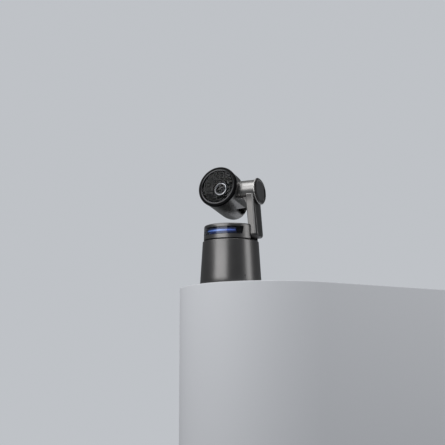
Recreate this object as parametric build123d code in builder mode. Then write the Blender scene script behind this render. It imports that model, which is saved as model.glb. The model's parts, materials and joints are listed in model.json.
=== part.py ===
from build123d import *
from math import cos, radians, sin, sqrt, tan
import os

# Two-axis desk webcam: a tapered base, a turret that pans on it, one side arm and a head that tilts.
# Frame: +Z up, the front faces -Y, and +X is the side of the arm. The origin is the mouth of the
# tripod thread, on the pan axis, in the plane that the rubber foot stands on. Millimetres.

# Fits and clearances
seat_gap = 0.02         # radial gap of a race or bush pressed into its seat
ball_gap = 0.05         # gap between a ball and its race
piece_gap = 0.15        # gap around a piece that drops into a pocket
running_gap = 0.3       # gap between pieces that move past each other
cut_past = 1.0          # how far a cut reaches past what it cuts
lap = 1.0               # how far two forms of one piece reach into each other

# Base
base_foot_r = 33.0      # outside radius at the lower edge
base_rim_r = 30.1       # outside radius at the top rim
base_low = 0.8          # height of the shell's lower edge
base_top = 47.0         # height of the top rim
base_wall = 2.0
deck_thick = 2.5        # the shell's closed top
rim_round = 0.7
foot_bevel = 0.4        # chamfer around the shell's lower edge
plate_thick = 2.4       # bottom plate
foot_inset = 1.5        # rubber foot ring inside the shell's wall
foot_screw_room = 2.6   # foot ring outside the heads of the plate's screws
foot_round = 0.3
foot_groove = 0.8       # how deep the foot sits in the plate
bush_outer_r = 5.5
bush_height = 7.0
bush_flange = 1.6
bush_flange_thick = 1.4
thread_r = 2.55         # minor radius of a 1/4-20 thread
thread_depth = 6.2

# Chassis inside the base
post_ring_r = 24.0      # circle that the posts stand on
post_r = 2.6
stud_r = 1.9            # upper, thinner part of a post
shelf_z = 19.5          # underside of the shelf that carries the board
shelf_thick = 2.0
shelf_r = 27.4
screw_r = 1.0
screw_head_r = 1.9
screw_head = 1.1
recess_long = 2.2       # cross in a screw's head
recess_wide = 0.5
recess_deep = 0.6
pilot_depth = 7.0
post_angles = (40, 140, 220, 320)
foot_post_angles = (0, 90, 180, 270)
battery_side = 33.0
battery_high = 15.0
battery_round = 2.5
battery_room = 0.9      # gap between the battery and the chassis feet

# Board and sockets
board_r = 25.6
board_thick = 1.6
board_lift = 3.6        # above the shelf
chip_side = 13.0
chip_high = 1.2
sink_side = 20.0
sink_base = 1.2
sink_fin = 2.4
fin_thick = 0.8
fin_count = 7
usb_angle = 90
usb_wide = 8.9
usb_high = 3.2
usb_long = 7.3
usb_skin = 0.3
usb_sink = 0.6          # the socket's mouth below the shell's surface
usb_back_wall = 1.0
usb_foot_start = 0.5    # socket's foot on the board, from the socket's back
usb_foot_long = 1.2
usb_foot_wide = 6.5
tongue_wide = 6.6
tongue_thick = 0.7
tongue_setback = 0.7    # tongue's tip behind the socket's mouth
card_angle = 197
card_wide = 12.0
card_high = 1.9
card_long = 14.0
card_slot_wide = 11.4
card_slot_high = 1.0
card_back_wall = 1.2
opening_margin = 0.4    # how much wider the shell's opening is than the socket
socket_lift = 0.15      # a socket's body above the board
pinhole_angle = -36.3
pinhole_z = 8.3
pinhole_r = 0.55

# Power button
button_angle = 163
button_r = 3.4
button_proud = 0.5
button_travel = 0.4
button_gap = 0.2
flange_extra = 0.9
flange_thick = 0.8
crown_round = 0.35
stem_r = 1.2
stem_long = 0.8         # from the flange to the switch, less the travel
stem_gap = 0.1          # left at the switch when the button is in
switch_wide = 6.0
switch_deep = 3.4
switch_high = 3.4

# Pan bearing and motor
shaft_r = 7.0
shaft_bore_r = 4.6
ball_r = 0.8
race_thick = 1.2
ball_count = 18
bearing_high = 3.2
motor_can_r = 18.6
motor_can_wall = 1.2
motor_can_high = 10.0
can_flange = 1.6
can_hole_gap = 1.5      # around the hollow shaft
stator_lift = 1.4       # stator above the can's floor
stator_high = 6.0
yoke_thick = 2.0
tooth_count = 12
tooth_wide = 1.6
coil_thick = 0.7
coil_short = 0.8        # a coil is this much shorter than its tooth
hub_thick = 2.5
magnet_thick = 2.2
air_gap = 0.35

# Seam and turret
seam = 1.4              # dark gap between base rim and turret
swivel_inner_r = 20.0
swivel_outer_r = 27.6
turret_low_r = 29.05
turret_top_r = 28.5
turret_high = 15.7
turret_wall = 1.8
turret_deck = 2.0
turret_round = 1.6
floor_thick = 2.0
floor_lift = 0.2        # the floor above the turret's lower edge
shaft_flange_r = 12.5
shaft_flange_thick = 1.6
flange_hole_r = 0.8
floor_screw_r = 18.0    # circle of the floor's screws
floor_screw_angles = (60, 180, 300)
flange_hole_angles = (90, 210, 330)
window_low = 4.1        # window edges above the turret's lower edge
window_high = 12.4
window_low_angle = 51.0
window_top_angle = 55.0
window_corner = 0.8
window_thick = 1.3
window_recess = 0.1
guide_z = 8.2           # centre of the light bar above the turret's lower edge
guide_high = 2.0
guide_thick = 1.4
guide_angle = 37.0
led_board_high = 6.0
led_board_thick = 0.8
led_count = 9
led_wide = 1.6
led_high = 1.4
led_sunk = 0.2          # a lamp's root in its board
led_gap = 0.7
led_board_extra = 3.0   # degrees that the board runs past the bar
holder_thick = 1.4
holder_short = 8.0      # degrees that the holder stops short of the bar's end

# Arm
tilt_z = 102.7          # height of the tilt axis
arm_in = 20.8           # X of the arm's inner face at the height of the tilt axis
arm_lean = 5.0          # degrees that the arm and its cap lean, lower edge outwards
arm_half = 8.2          # half the arm's width
arm_skin = 6.8          # thickness of the arm's frame
arm_out_r = 33.8        # the cover's outer face is crowned to this radius
cover_crown = 3.7       # thickness of the cover at its crown
cover_round = 2.0       # rounded outline of the cover's outer face
arm_lift = 0.2          # arm above the turret's lower edge
barrel_r = 10.0
barrel_start = 15.4     # X of the barrel's inner end
groove_x = 17.1         # fine groove turned in the barrel
groove_wide = 0.5
groove_deep = 0.45
barrel_round = 0.5
barrel_wall = 1.7
barrel_floor = 1.4
barrel_hole_r = 4.6
web_wide = 3.4          # curved web between the arm and the barrel's underside
web_high = 9.4
toe_round = 5.2
edge_round = 0.9
arm_gap = 0.5           # slot around the arm where it enters the turret
tab_long = 11.0         # foot tab inside the turret
tab_half = 6.5
tab_thick = 2.4
tab_screw_in = 4.0      # screws of the tab, inwards from the arm
tab_screw_far = 8.6
tab_screw_half = 3.6
channel_half = 5.8      # cable channel down the arm
channel_floor = 1.8     # left between the channel and the arm's inner face
channel_round = 2.0
channel_low_gap = 1.0   # above the tab
channel_high_gap = 2.0  # below the barrel
cover_gap = 0.1

# End cap of the barrel
cap_x = 34.3            # X of the cap's middle plane on its own axis
cap_drop = 2.8          # below the tilt axis
cap_r = 14.6
cap_back = 0.6          # from the middle plane to the cap's back
flange_high = 0.8
flange_edge = 0.3
rim_step = 0.5          # the rim is this much smaller than the flange
rim_high = 1.3
cap_bevel = 1.0
disc_r = 10.6
disc_thick = 0.8

# Tilt motor and bearings
tilt_shaft_r = 3.4
tilt_bore_r = 1.9
tilt_race = 1.0
tilt_ball_r = 0.7
tilt_ball_count = 12
tilt_bearing_wide = 2.6
tilt_spacing = 1.0      # between the stator and each bearing
tilt_shaft_root = 3.5   # part of the shaft inside the neck
tilt_stator_long = 6.0
tilt_magnet = 1.2
tilt_teeth = 9
tilt_tooth_wide = 0.9
tilt_yoke = 1.0

# Head
head_x = -7.9           # X of the optical axis
head_tilt = 10.6        # degrees up, as it rests
head_r = 22.0
head_wall = 1.6
ring_r = 22.5
ring_front = 17.4       # front plane ahead of the tilt axis
ring_deep = 2.6
ring_tail = 1.5         # part of the ring that sits inside the housing
ring_round = 1.3
glass_r = 18.4
glass_thick = 1.0
glass_recess = 0.6
glass_ledge = 0.7
bevel_wide = 1.2        # polished bevel down to the glass
shoulder_deep = 3.6     # full round of the housing behind the ring
rear_offset = 15.5      # slanted rear crosses the optical axis this far behind the tilt axis
rear_slant = 43.0       # degrees, lower edge furthest back
rear_round = 3.0
rear_frame = 4.6        # frame left around the rear opening
rear_ledge = 1.5
cover_thick = 1.3
plug_extra = 0.4        # the cover's plug past the housing's wall
slot_count = 7
slot_pitch = 3.2
slot_wide = 1.3
slot_long = 14.0
cheek_x = 9.6           # X of the flat on the arm's side
neck_r = 9.4
neck_end = 15.0
collar_r = 9.9
collar_wide = 1.4
collar_start = 13.1
vent_long = 22.0
vent_wide = 8.0
vent_u = -15.4          # vent's centre behind the tilt axis
vent_w = -19.2          # and below the optical axis
vent_rise = 25.0        # degrees, rising to the rear
vent_x = 3.2            # X of the vent's deepest plane

# Lens
lens_front = 9.3        # front of the lens barrel ahead of the tilt axis
lens_barrel_r = 8.5
dish_hole_r = 9.0
dish_skin = 1.4
dish_gap = 0.1          # between glass and dish
lens_barrel_long = 10.0
lens_bore_r = 6.2
trim_ring_r = 6.9
trim_inner_r = 5.6
trim_thick = 0.7
trim_proud = 0.2        # outer edge of the trim ring ahead of the barrel
trim_lip = 0.35         # its lip ahead of the barrel
trim_bevel = 0.4
cell_r = 5.9
cell_long = 6.6
cell_bore_r = 4.6
cell_setback = 1.2      # left in front of the focus cell at the end of its travel
focus_travel = 0.4
front_seat = 2.6        # depth of the front lens in the cell
front_lens_bulge = 1.1
rear_seat = 2.4
rear_lens_inset = 0.3
rear_lens_r = 4.2
rear_lens_thick = 1.6
sensor_board_side = 18.0
sensor_board_thick = 1.2
sensor_board_round = 3.0
sensor_gap = 0.5        # between the lens barrel and the sensor
sensor_wide = 9.6
sensor_high = 7.4
sensor_thick = 1.0
frame_thick = 1.2
frame_post_r = 1.2
frame_post_edge = 0.4   # board left outside a post

# Levels and radii that follow from the values above
plate_top = base_low + plate_thick
foot_post_ring_r = battery_side / 2 + battery_room + post_r
foot_outer_r = base_foot_r - base_wall - foot_inset
foot_inner_r = foot_post_ring_r + screw_head_r + foot_screw_room
shelf_top = shelf_z + shelf_thick
board_z = shelf_top + board_lift
board_top = board_z + board_thick
deck_z = base_top - deck_thick
turret_z = base_top + seam
turret_top = turret_z + turret_high
floor_z = turret_z + floor_lift
floor_top = floor_z + floor_thick
race_in_r = shaft_r + seat_gap
ball_pitch_r = race_in_r + race_thick + ball_gap + ball_r
race_out_r = ball_pitch_r + ball_r + ball_gap + race_thick
deck_bore_r = race_out_r + seat_gap
can_low = deck_z - motor_can_high
stator_out_r = motor_can_r - motor_can_wall - seat_gap
stator_low = can_low + motor_can_wall + stator_lift
stator_top = stator_low + stator_high
magnet_in_r = shaft_r + hub_thick
magnet_out_r = magnet_in_r + seat_gap + magnet_thick
tooth_tip_r = magnet_out_r + air_gap
slot_top = floor_top + shaft_flange_thick
arm_low = turret_z + arm_lift
arm_long = (tilt_z - arm_low) / cos(radians(arm_lean))
channel_deep = arm_skin - channel_floor
ring_back = ring_front - ring_deep
slant = radians(rear_slant)


def base_r(z):
    """Outside radius of the tapered base at a height."""
    share = (z - base_low) / (base_top - base_low)
    return base_foot_r + (base_rim_r - base_foot_r) * share


def turret_r(z):
    """Outside radius of the turret at a height."""
    share = (z - turret_z) / turret_high
    return turret_low_r + (turret_top_r - turret_low_r) * share


def arm_x(z):
    """X of the leaning arm's inner face at a height."""
    return arm_in + (tilt_z - z) * tan(radians(arm_lean))


def polar(radius, angle, z=0.0):
    """Point at a radius and an angle from +X about the pan axis."""
    return (radius * cos(radians(angle)), radius * sin(radians(angle)), z)


def radial_plane(angle, z, radius=0.0):
    """Plane that faces outwards from the pan axis, its own y upwards."""
    out = (cos(radians(angle)), sin(radians(angle)), 0)
    side = (-sin(radians(angle)), cos(radians(angle)), 0)
    return Plane(origin=polar(radius, angle, z), x_dir=side, z_dir=out)


def tube(plane, outer, inner, length):
    """Ring or disc on a plane, added to the part that is being built."""
    with BuildSketch(plane) as ring:
        Circle(outer)
        if inner > 0:
            Circle(inner, mode=Mode.SUBTRACT)
    extrude(ring.sketch, amount=length)


def turned(points, axis=Axis.Z):
    """Solid of revolution whose half section is a polygon of (radius, height) points."""
    with BuildSketch(Plane.XZ) as section:
        with BuildLine():
            Polyline(*points, close=True)
        make_face()
    revolve(section.sketch, axis=axis)


def screw(plane, length):
    """Countersunk screw, its head's face on the plane, added to the part that is being built."""
    with BuildSketch(plane) as head_face:
        Circle(screw_head_r)
    with BuildSketch(plane.offset(screw_head)) as neck_face:
        Circle(screw_r)
    loft([head_face.sketch.faces()[0], neck_face.sketch.faces()[0]])
    with BuildSketch(plane.offset(screw_head)) as shank:
        Circle(screw_r)
    extrude(shank.sketch, amount=length - screw_head)
    with BuildSketch(plane) as cross:
        Rectangle(recess_long, recess_wide)
        Rectangle(recess_wide, recess_long)
    extrude(cross.sketch, amount=recess_deep, mode=Mode.SUBTRACT)


def screw_seat(plane, depth):
    """Countersink and pilot hole for a screw whose head lies on the plane."""
    with BuildSketch(plane) as mouth:
        Circle(screw_head_r + piece_gap)
    with BuildSketch(plane.offset(screw_head + piece_gap)) as throat:
        Circle(screw_r + seat_gap)
    loft([mouth.sketch.faces()[0], throat.sketch.faces()[0]], mode=Mode.SUBTRACT)
    with BuildSketch(plane) as pilot:
        Circle(screw_r + seat_gap)
    extrude(pilot.sketch, amount=depth, mode=Mode.SUBTRACT)


# Planes of the head and of the leaning cap
optical = (0, -cos(radians(head_tilt)), sin(radians(head_tilt)))
head_plane = Plane(origin=(head_x, 0, tilt_z), x_dir=(1, 0, 0), z_dir=optical)
optical_axis = Axis(head_plane.origin, head_plane.z_dir)
tilt_axis = Axis((0, 0, tilt_z), (1, 0, 0))
tilt_plane = Plane(origin=(0, 0, tilt_z), x_dir=(0, 1, 0), z_dir=(1, 0, 0))
cap_out = (cos(radians(arm_lean)), 0, sin(radians(arm_lean)))
across_arm = Axis((0, 0, 0), cap_out)
arm_plane = Plane(origin=(arm_in, 0, tilt_z), x_dir=(0, 1, 0), z_dir=cap_out)
cap_plane = Plane(origin=(cap_x, 0, tilt_z - cap_drop), x_dir=(0, 1, 0), z_dir=cap_out)


def head_turned(points):
    """Solid of revolution about the optical axis, from (radius, distance ahead of the tilt axis)."""
    across = Plane(origin=head_plane.origin, x_dir=head_plane.x_dir, z_dir=-head_plane.y_dir)
    with BuildSketch(across) as section:
        with BuildLine():
            Polyline(*points, close=True)
        make_face()
    revolve(section.sketch, axis=optical_axis)


def tilt_turned(points):
    """Solid of revolution about the tilt axis, from (X, radius) points."""
    with BuildSketch(Plane(origin=(0, 0, tilt_z), x_dir=(1, 0, 0), z_dir=(0, -1, 0))) as section:
        with BuildLine():
            Polyline(*points, close=True)
        make_face()
    revolve(section.sketch, axis=tilt_axis)


# BASE
# Tapered shell, closed on top by a deck with the bore for the pan bearing
with BuildPart() as base_shell:
    inner_low = base_r(base_low) - base_wall
    inner_top = base_r(deck_z) - base_wall
    turned([
        (base_foot_r, base_low), (base_rim_r, base_top), (deck_bore_r, base_top),
        (deck_bore_r, deck_z), (inner_top, deck_z), (inner_low, base_low),
    ])
    rim = base_shell.edges().filter_by(GeomType.CIRCLE).group_by(Axis.Z)[-1].sort_by(SortBy.RADIUS)[-1]
    fillet(rim, radius=rim_round)
    foot_edge = base_shell.edges().filter_by(GeomType.CIRCLE).group_by(Axis.Z)[0].sort_by(SortBy.RADIUS)[-1]
    chamfer(foot_edge, length=foot_bevel)
    usb_z = board_top + socket_lift + usb_high / 2
    with BuildSketch(radial_plane(usb_angle, usb_z)) as usb_opening:
        SlotOverall(usb_wide + 2 * opening_margin, usb_high + 2 * opening_margin)
    extrude(usb_opening.sketch, amount=base_foot_r + cut_past, mode=Mode.SUBTRACT)
    card_z = board_top + socket_lift + card_high / 2
    with BuildSketch(radial_plane(card_angle, card_z)) as card_opening:
        SlotOverall(card_slot_wide + 2 * opening_margin, card_slot_high + 2 * opening_margin)
    extrude(card_opening.sketch, amount=base_foot_r + cut_past, mode=Mode.SUBTRACT)
    button_z = board_top + socket_lift + switch_high / 2
    with BuildSketch(radial_plane(button_angle, button_z)) as button_hole:
        Circle(button_r + button_gap)
    extrude(button_hole.sketch, amount=base_foot_r + cut_past, mode=Mode.SUBTRACT)
    with BuildSketch(radial_plane(pinhole_angle, pinhole_z)) as pinhole:
        Circle(pinhole_r)
    extrude(pinhole.sketch, amount=base_foot_r + cut_past, mode=Mode.SUBTRACT)
    for angle in post_angles:
        deck_spot = Plane(origin=polar(post_ring_r, angle, base_top), z_dir=(0, 0, -1))
        screw_seat(deck_spot, deck_thick + cut_past)
base_shell.part.label = "base_shell"

# Bottom plate, with a groove for the foot and seats for its screws
plate_r = base_r(plate_top) - base_wall - piece_gap
with BuildPart() as base_plate:
    tube(Plane.XY.offset(base_low), plate_r, bush_outer_r + seat_gap, plate_thick)
    tube_low = Plane.XY.offset(base_low)
    with BuildSketch(tube_low) as groove:
        Circle(foot_outer_r + seat_gap)
        Circle(foot_inner_r - seat_gap, mode=Mode.SUBTRACT)
    extrude(groove.sketch, amount=foot_groove, mode=Mode.SUBTRACT)
    for angle in foot_post_angles:
        screw_seat(Plane(origin=polar(foot_post_ring_r, angle, base_low)), plate_thick + cut_past)
base_plate.part.label = "base_plate"

# Rubber foot ring
with BuildPart() as foot_ring:
    tube(Plane.XY, foot_outer_r, foot_inner_r, base_low + foot_groove)
    fillet(foot_ring.edges().group_by(Axis.Z)[0], radius=foot_round)
foot_ring.part.label = "foot_ring"

# Metal bush with the tripod thread, flanged above the plate
with BuildPart() as tripod_bush:
    tube(Plane.XY, bush_outer_r, 0, bush_height)
    tube(Plane.XY.offset(plate_top), bush_outer_r + bush_flange, 0, bush_flange_thick)
    with BuildSketch(Plane.XY) as thread_bore:
        Circle(thread_r)
    extrude(thread_bore.sketch, amount=thread_depth, mode=Mode.SUBTRACT)
tripod_bush.part.label = "tripod_bush"

with BuildPart() as plate_screws:
    for angle in foot_post_angles:
        screw(Plane(origin=polar(foot_post_ring_r, angle, base_low)), pilot_depth)
plate_screws.part.label = "plate_screws"

# Chassis: a shelf on four feet, with four posts up to the deck
with BuildPart() as chassis:
    tube(Plane.XY.offset(shelf_z), shelf_r, 0, shelf_thick)
    for angle in foot_post_angles:
        with BuildSketch(Plane(origin=polar(foot_post_ring_r, angle, plate_top))) as foot:
            Circle(post_r)
        extrude(foot.sketch, amount=shelf_z - plate_top)
        with BuildSketch(Plane(origin=polar(foot_post_ring_r, angle, plate_top))) as foot_pilot:
            Circle(screw_r + seat_gap)
        extrude(foot_pilot.sketch, amount=pilot_depth, mode=Mode.SUBTRACT)
    for angle in post_angles:
        with BuildSketch(Plane(origin=polar(post_ring_r, angle, shelf_top))) as post:
            Circle(post_r)
        extrude(post.sketch, amount=board_lift)
        with BuildSketch(Plane(origin=polar(post_ring_r, angle, board_z))) as stud:
            Circle(stud_r)
        extrude(stud.sketch, amount=deck_z - board_z)
        with BuildSketch(Plane(origin=polar(post_ring_r, angle, deck_z), z_dir=(0, 0, -1))) as stud_pilot:
            Circle(screw_r + seat_gap)
        extrude(stud_pilot.sketch, amount=pilot_depth, mode=Mode.SUBTRACT)
chassis.part.label = "chassis"

with BuildPart() as deck_screws:
    for angle in post_angles:
        screw(Plane(origin=polar(post_ring_r, angle, base_top), z_dir=(0, 0, -1)), pilot_depth)
deck_screws.part.label = "deck_screws"

# Battery pack, standing on the plate around the bush
battery_z = shelf_z - battery_high
with BuildPart() as battery_pack:
    with BuildSketch(Plane.XY.offset(battery_z)) as battery_face:
        RectangleRounded(battery_side, battery_side, battery_round)
    extrude(battery_face.sketch, amount=battery_high)
    with BuildSketch(Plane.XY.offset(battery_z)) as bush_room:
        Circle(bush_outer_r + bush_flange + running_gap)
    extrude(bush_room.sketch, amount=bush_height - battery_z + running_gap, mode=Mode.SUBTRACT)
battery_pack.part.label = "battery_pack"

# Main board on the posts' shoulders
with BuildPart() as main_board:
    tube(Plane.XY.offset(board_z), board_r, 0, board_thick)
    for angle in post_angles:
        with BuildSketch(Plane(origin=polar(post_ring_r, angle, board_z))) as stud_hole:
            Circle(stud_r + seat_gap)
        extrude(stud_hole.sketch, amount=board_thick, mode=Mode.SUBTRACT)
main_board.part.label = "main_board"

with BuildPart() as processor:
    with BuildSketch(Plane.XY.offset(board_top)) as chip_face:
        Rectangle(chip_side, chip_side)
    extrude(chip_face.sketch, amount=chip_high)
processor.part.label = "processor"

with BuildPart() as heat_sink:
    with BuildSketch(Plane.XY.offset(board_top + chip_high)) as sink_face:
        Rectangle(sink_side, sink_side)
    extrude(sink_face.sketch, amount=sink_base)
    fin_pitch = (sink_side - fin_thick) / (fin_count - 1)
    with BuildSketch(Plane.XY.offset(board_top + chip_high + sink_base)) as fins:
        with GridLocations(fin_pitch, 0, fin_count, 1):
            Rectangle(fin_thick, sink_side)
    extrude(fins.sketch, amount=sink_fin)
heat_sink.part.label = "heat_sink"

# USB-C socket: a metal tube with its tongue, its mouth in the shell's opening at the rear
usb_back = base_r(usb_z) - usb_sink - usb_long
with BuildPart() as usb_port:
    with BuildSketch(radial_plane(usb_angle, usb_z, usb_back)) as usb_body:
        SlotOverall(usb_wide, usb_high)
    extrude(usb_body.sketch, amount=usb_long)
    with BuildSketch(radial_plane(usb_angle, board_top, usb_back + usb_foot_start)) as usb_foot:
        Rectangle(usb_foot_wide, usb_high / 2, align=(Align.CENTER, Align.MIN))
    extrude(usb_foot.sketch, amount=usb_foot_long)
    with BuildSketch(radial_plane(usb_angle, usb_z, usb_back + usb_back_wall)) as usb_cavity:
        SlotOverall(usb_wide - 2 * usb_skin, usb_high - 2 * usb_skin)
        Rectangle(tongue_wide, tongue_thick, mode=Mode.SUBTRACT)
    extrude(usb_cavity.sketch, amount=usb_long, mode=Mode.SUBTRACT)
    with BuildSketch(radial_plane(usb_angle, usb_z, usb_back + usb_long)) as tongue_tip:
        Rectangle(tongue_wide, tongue_thick)
    extrude(tongue_tip.sketch, amount=-tongue_setback, mode=Mode.SUBTRACT)
usb_port.part.label = "usb_port"

# Memory card socket
card_inner_r = base_r(card_z + card_high / 2) - base_wall
card_face = sqrt(card_inner_r ** 2 - (card_wide / 2) ** 2) - running_gap
card_back = card_face - card_long
with BuildPart() as card_socket:
    with BuildSketch(radial_plane(card_angle, card_z, card_back)) as card_body:
        Rectangle(card_wide, card_high)
    extrude(card_body.sketch, amount=card_long)
    with BuildSketch(radial_plane(card_angle, card_z, card_back + card_back_wall)) as card_cavity:
        Rectangle(card_slot_wide, card_slot_high)
    extrude(card_cavity.sketch, amount=card_long, mode=Mode.SUBTRACT)
card_socket.part.label = "card_socket"

# Power button: cap through the wall, flange behind it, stem to the switch
button_inner = base_r(button_z + button_r + flange_extra) - base_wall - running_gap
button_inner = sqrt(button_inner ** 2 - (button_r + flange_extra) ** 2)
switch_face_r = button_inner - flange_thick - button_travel - stem_long
with BuildPart() as power_button:
    with BuildSketch(radial_plane(button_angle, button_z, button_inner - flange_thick)) as button_flange:
        Circle(button_r + flange_extra)
    extrude(button_flange.sketch, amount=flange_thick)
    cap_end = base_r(button_z) + button_proud
    with BuildSketch(radial_plane(button_angle, button_z, button_inner)) as button_cap:
        Circle(button_r)
    extrude(button_cap.sketch, amount=cap_end - button_inner)
    button_axis = Axis((0, 0, 0), polar(1, button_angle))
    crown = power_button.edges().filter_by(GeomType.CIRCLE).sort_by(button_axis)[-1]
    fillet(crown, radius=crown_round)
    stem_low = switch_face_r + button_travel + stem_gap
    with BuildSketch(radial_plane(button_angle, button_z, stem_low)) as button_stem:
        Circle(stem_r)
    extrude(button_stem.sketch, amount=button_inner - stem_low)
power_button.part.label = "power_button"

with BuildPart() as button_switch:
    with BuildSketch(radial_plane(button_angle, button_z, switch_face_r - switch_deep)) as switch_body:
        Rectangle(switch_wide, switch_high)
    extrude(switch_body.sketch, amount=switch_deep)
button_switch.part.label = "button_switch"

# Pan motor: can hung under the deck, stator with its teeth, and coils on the teeth
with BuildPart() as pan_motor_can:
    tube(Plane.XY.offset(can_low), motor_can_r, motor_can_r - motor_can_wall, motor_can_high)
    tube(Plane.XY.offset(can_low), motor_can_r, shaft_r + can_hole_gap, motor_can_wall)
    flange_plane = Plane.XY.offset(deck_z - motor_can_wall)
    tube(flange_plane, motor_can_r + can_flange, motor_can_r - motor_can_wall, motor_can_wall)
pan_motor_can.part.label = "pan_motor_can"


def stator(plane, outer, tip, high, teeth, wide, yoke):
    """Iron stator with teeth that point at the axis, added to the part that is being built."""
    with BuildSketch(plane) as iron:
        Circle(outer)
        Circle(outer - yoke, mode=Mode.SUBTRACT)
        with PolarLocations((outer - yoke / 2 + tip) / 2, teeth):
            Rectangle(outer - yoke / 2 - tip, wide)
    extrude(iron.sketch, amount=high)
    with BuildSketch(plane) as bore:
        Circle(tip)
    extrude(bore.sketch, amount=high, mode=Mode.SUBTRACT)


def coils(plane, outer, tip, high, teeth, wide, yoke):
    """One wound block on each side of every tooth, added to the part that is being built."""
    middle = (outer - yoke + tip) / 2
    length = outer - yoke - tip - coil_short
    aside = (wide + coil_thick) / 2 + seat_gap
    with BuildSketch(plane) as winding:
        with PolarLocations(middle, teeth):
            with Locations((0, aside), (0, -aside)):
                Rectangle(length, coil_thick)
    extrude(winding.sketch, amount=high)


stator_plane = Plane.XY.offset(stator_low)
with BuildPart() as pan_stator:
    stator(stator_plane, stator_out_r, tooth_tip_r, stator_high, tooth_count, tooth_wide, yoke_thick)
pan_stator.part.label = "pan_stator"

with BuildPart() as pan_coils:
    coils(stator_plane, stator_out_r, tooth_tip_r, stator_high, tooth_count, tooth_wide, yoke_thick)
pan_coils.part.label = "pan_coils"

# Pan bearing in the deck
bearing_z = base_top - bearing_high
with BuildPart() as pan_race_outer:
    tube(Plane.XY.offset(bearing_z), race_out_r, race_out_r - race_thick, bearing_high)
pan_race_outer.part.label = "pan_race_outer"

with BuildPart() as pan_balls:
    with Locations((0, 0, bearing_z + bearing_high / 2)):
        with PolarLocations(ball_pitch_r, ball_count):
            Sphere(ball_r)
pan_balls.part.label = "pan_balls"

# Black ring that closes the seam between base and turret
with BuildPart() as swivel_ring:
    tube(Plane.XY.offset(base_top), swivel_outer_r, swivel_inner_r, seam - running_gap)
swivel_ring.part.label = "swivel_ring"

# TURRET
# Ring shell, open below, with the window in front and the slot for the arm on its right
slot_face = arm_x(turret_top) - arm_gap
slot_half = arm_half + arm_gap
window_half_low = turret_r(turret_z + window_low) * sin(radians(window_low_angle))
window_half_top = turret_r(turret_z + window_high) * sin(radians(window_top_angle))


def window_outline(inset):
    """The window's outline in the front view, drawn in by a gap."""
    low = turret_z + window_low + inset
    high = turret_z + window_high - inset
    with BuildSketch(Plane.XZ) as outline:
        with BuildLine():
            Polyline(
                (-window_half_low + inset, low), (window_half_low - inset, low),
                (window_half_top - inset, high), (-window_half_top + inset, high), close=True,
            )
        make_face()
        fillet(outline.vertices(), radius=window_corner)
    return outline.sketch


floor_screw_spots = [polar(floor_screw_r, angle) for angle in floor_screw_angles]
with BuildPart() as turret_shell:
    inner_low_r = turret_low_r - turret_wall
    inner_top_r = turret_r(turret_top - turret_deck) - turret_wall
    turned([
        (turret_low_r, turret_z), (turret_top_r, turret_top), (0, turret_top),
        (0, turret_top - turret_deck), (inner_top_r, turret_top - turret_deck), (inner_low_r, turret_z),
    ])
    crown_edge = turret_shell.edges().filter_by(GeomType.CIRCLE).group_by(Axis.Z)[-1]
    fillet(crown_edge, radius=turret_round)
    extrude(window_outline(0), amount=turret_low_r + cut_past, mode=Mode.SUBTRACT)
    for x, y, z in floor_screw_spots:
        with BuildSketch(Plane(origin=(x, y, floor_top))) as turret_post:
            Circle(post_r)
        extrude(turret_post.sketch, amount=turret_top - turret_deck - floor_top)
        with BuildSketch(Plane(origin=(x, y, floor_top))) as turret_pilot:
            Circle(screw_r + seat_gap)
        extrude(turret_pilot.sketch, amount=pilot_depth, mode=Mode.SUBTRACT)
    with BuildSketch(Plane.XY.offset(turret_z - cut_past)) as arm_slot:
        with Locations((slot_face, 0)):
            Rectangle(turret_low_r, 2 * slot_half, align=(Align.MIN, Align.CENTER))
    extrude(arm_slot.sketch, amount=turret_high + 2 * cut_past, mode=Mode.SUBTRACT)
turret_shell.part.label = "turret_shell"

floor_r = turret_low_r - turret_wall - seat_gap
tab_end = arm_x(floor_top)
tab_screw_spots = [
    (tab_end - tab_screw_in, tab_screw_half, 0), (tab_end - tab_screw_in, -tab_screw_half, 0),
    (tab_end - tab_screw_far, 0, 0),
]
with BuildPart() as turret_floor:
    taper_drop = (turret_low_r - turret_top_r) * (floor_top - turret_z) / turret_high
    tube(Plane.XY.offset(floor_z), floor_r - taper_drop, shaft_r + seat_gap, floor_thick)
    with BuildSketch(Plane.XY.offset(floor_z)) as floor_slot:
        with Locations((slot_face, 0)):
            Rectangle(turret_low_r, 2 * slot_half, align=(Align.MIN, Align.CENTER))
    extrude(floor_slot.sketch, amount=floor_thick, mode=Mode.SUBTRACT)
    for x, y, z in tab_screw_spots:
        with BuildSketch(Plane(origin=(x, y, floor_z))) as tab_pilot:
            Circle(screw_r + seat_gap)
        extrude(tab_pilot.sketch, amount=floor_thick, mode=Mode.SUBTRACT)
    for x, y, z in floor_screw_spots:
        screw_seat(Plane(origin=(x, y, floor_z)), floor_thick + cut_past)
turret_floor.part.label = "turret_floor"

with BuildPart() as floor_screws:
    for x, y, z in floor_screw_spots:
        screw(Plane(origin=(x, y, floor_z)), pilot_depth)
floor_screws.part.label = "floor_screws"

# Hollow pan shaft: flange on the floor, bearing seat, and the hub of the magnet ring
with BuildPart() as pan_shaft:
    turned([
        (shaft_bore_r, stator_low), (magnet_in_r, stator_low), (magnet_in_r, stator_top),
        (shaft_r, stator_top), (shaft_r, floor_top), (shaft_flange_r, floor_top),
        (shaft_flange_r, slot_top), (shaft_bore_r, slot_top),
    ])
    for angle in flange_hole_angles:
        hole_spot = polar((shaft_r + shaft_flange_r) / 2, angle, floor_top)
        with BuildSketch(Plane(origin=hole_spot)) as flange_hole:
            Circle(flange_hole_r)
        extrude(flange_hole.sketch, amount=shaft_flange_thick, mode=Mode.SUBTRACT)
pan_shaft.part.label = "pan_shaft"

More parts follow.
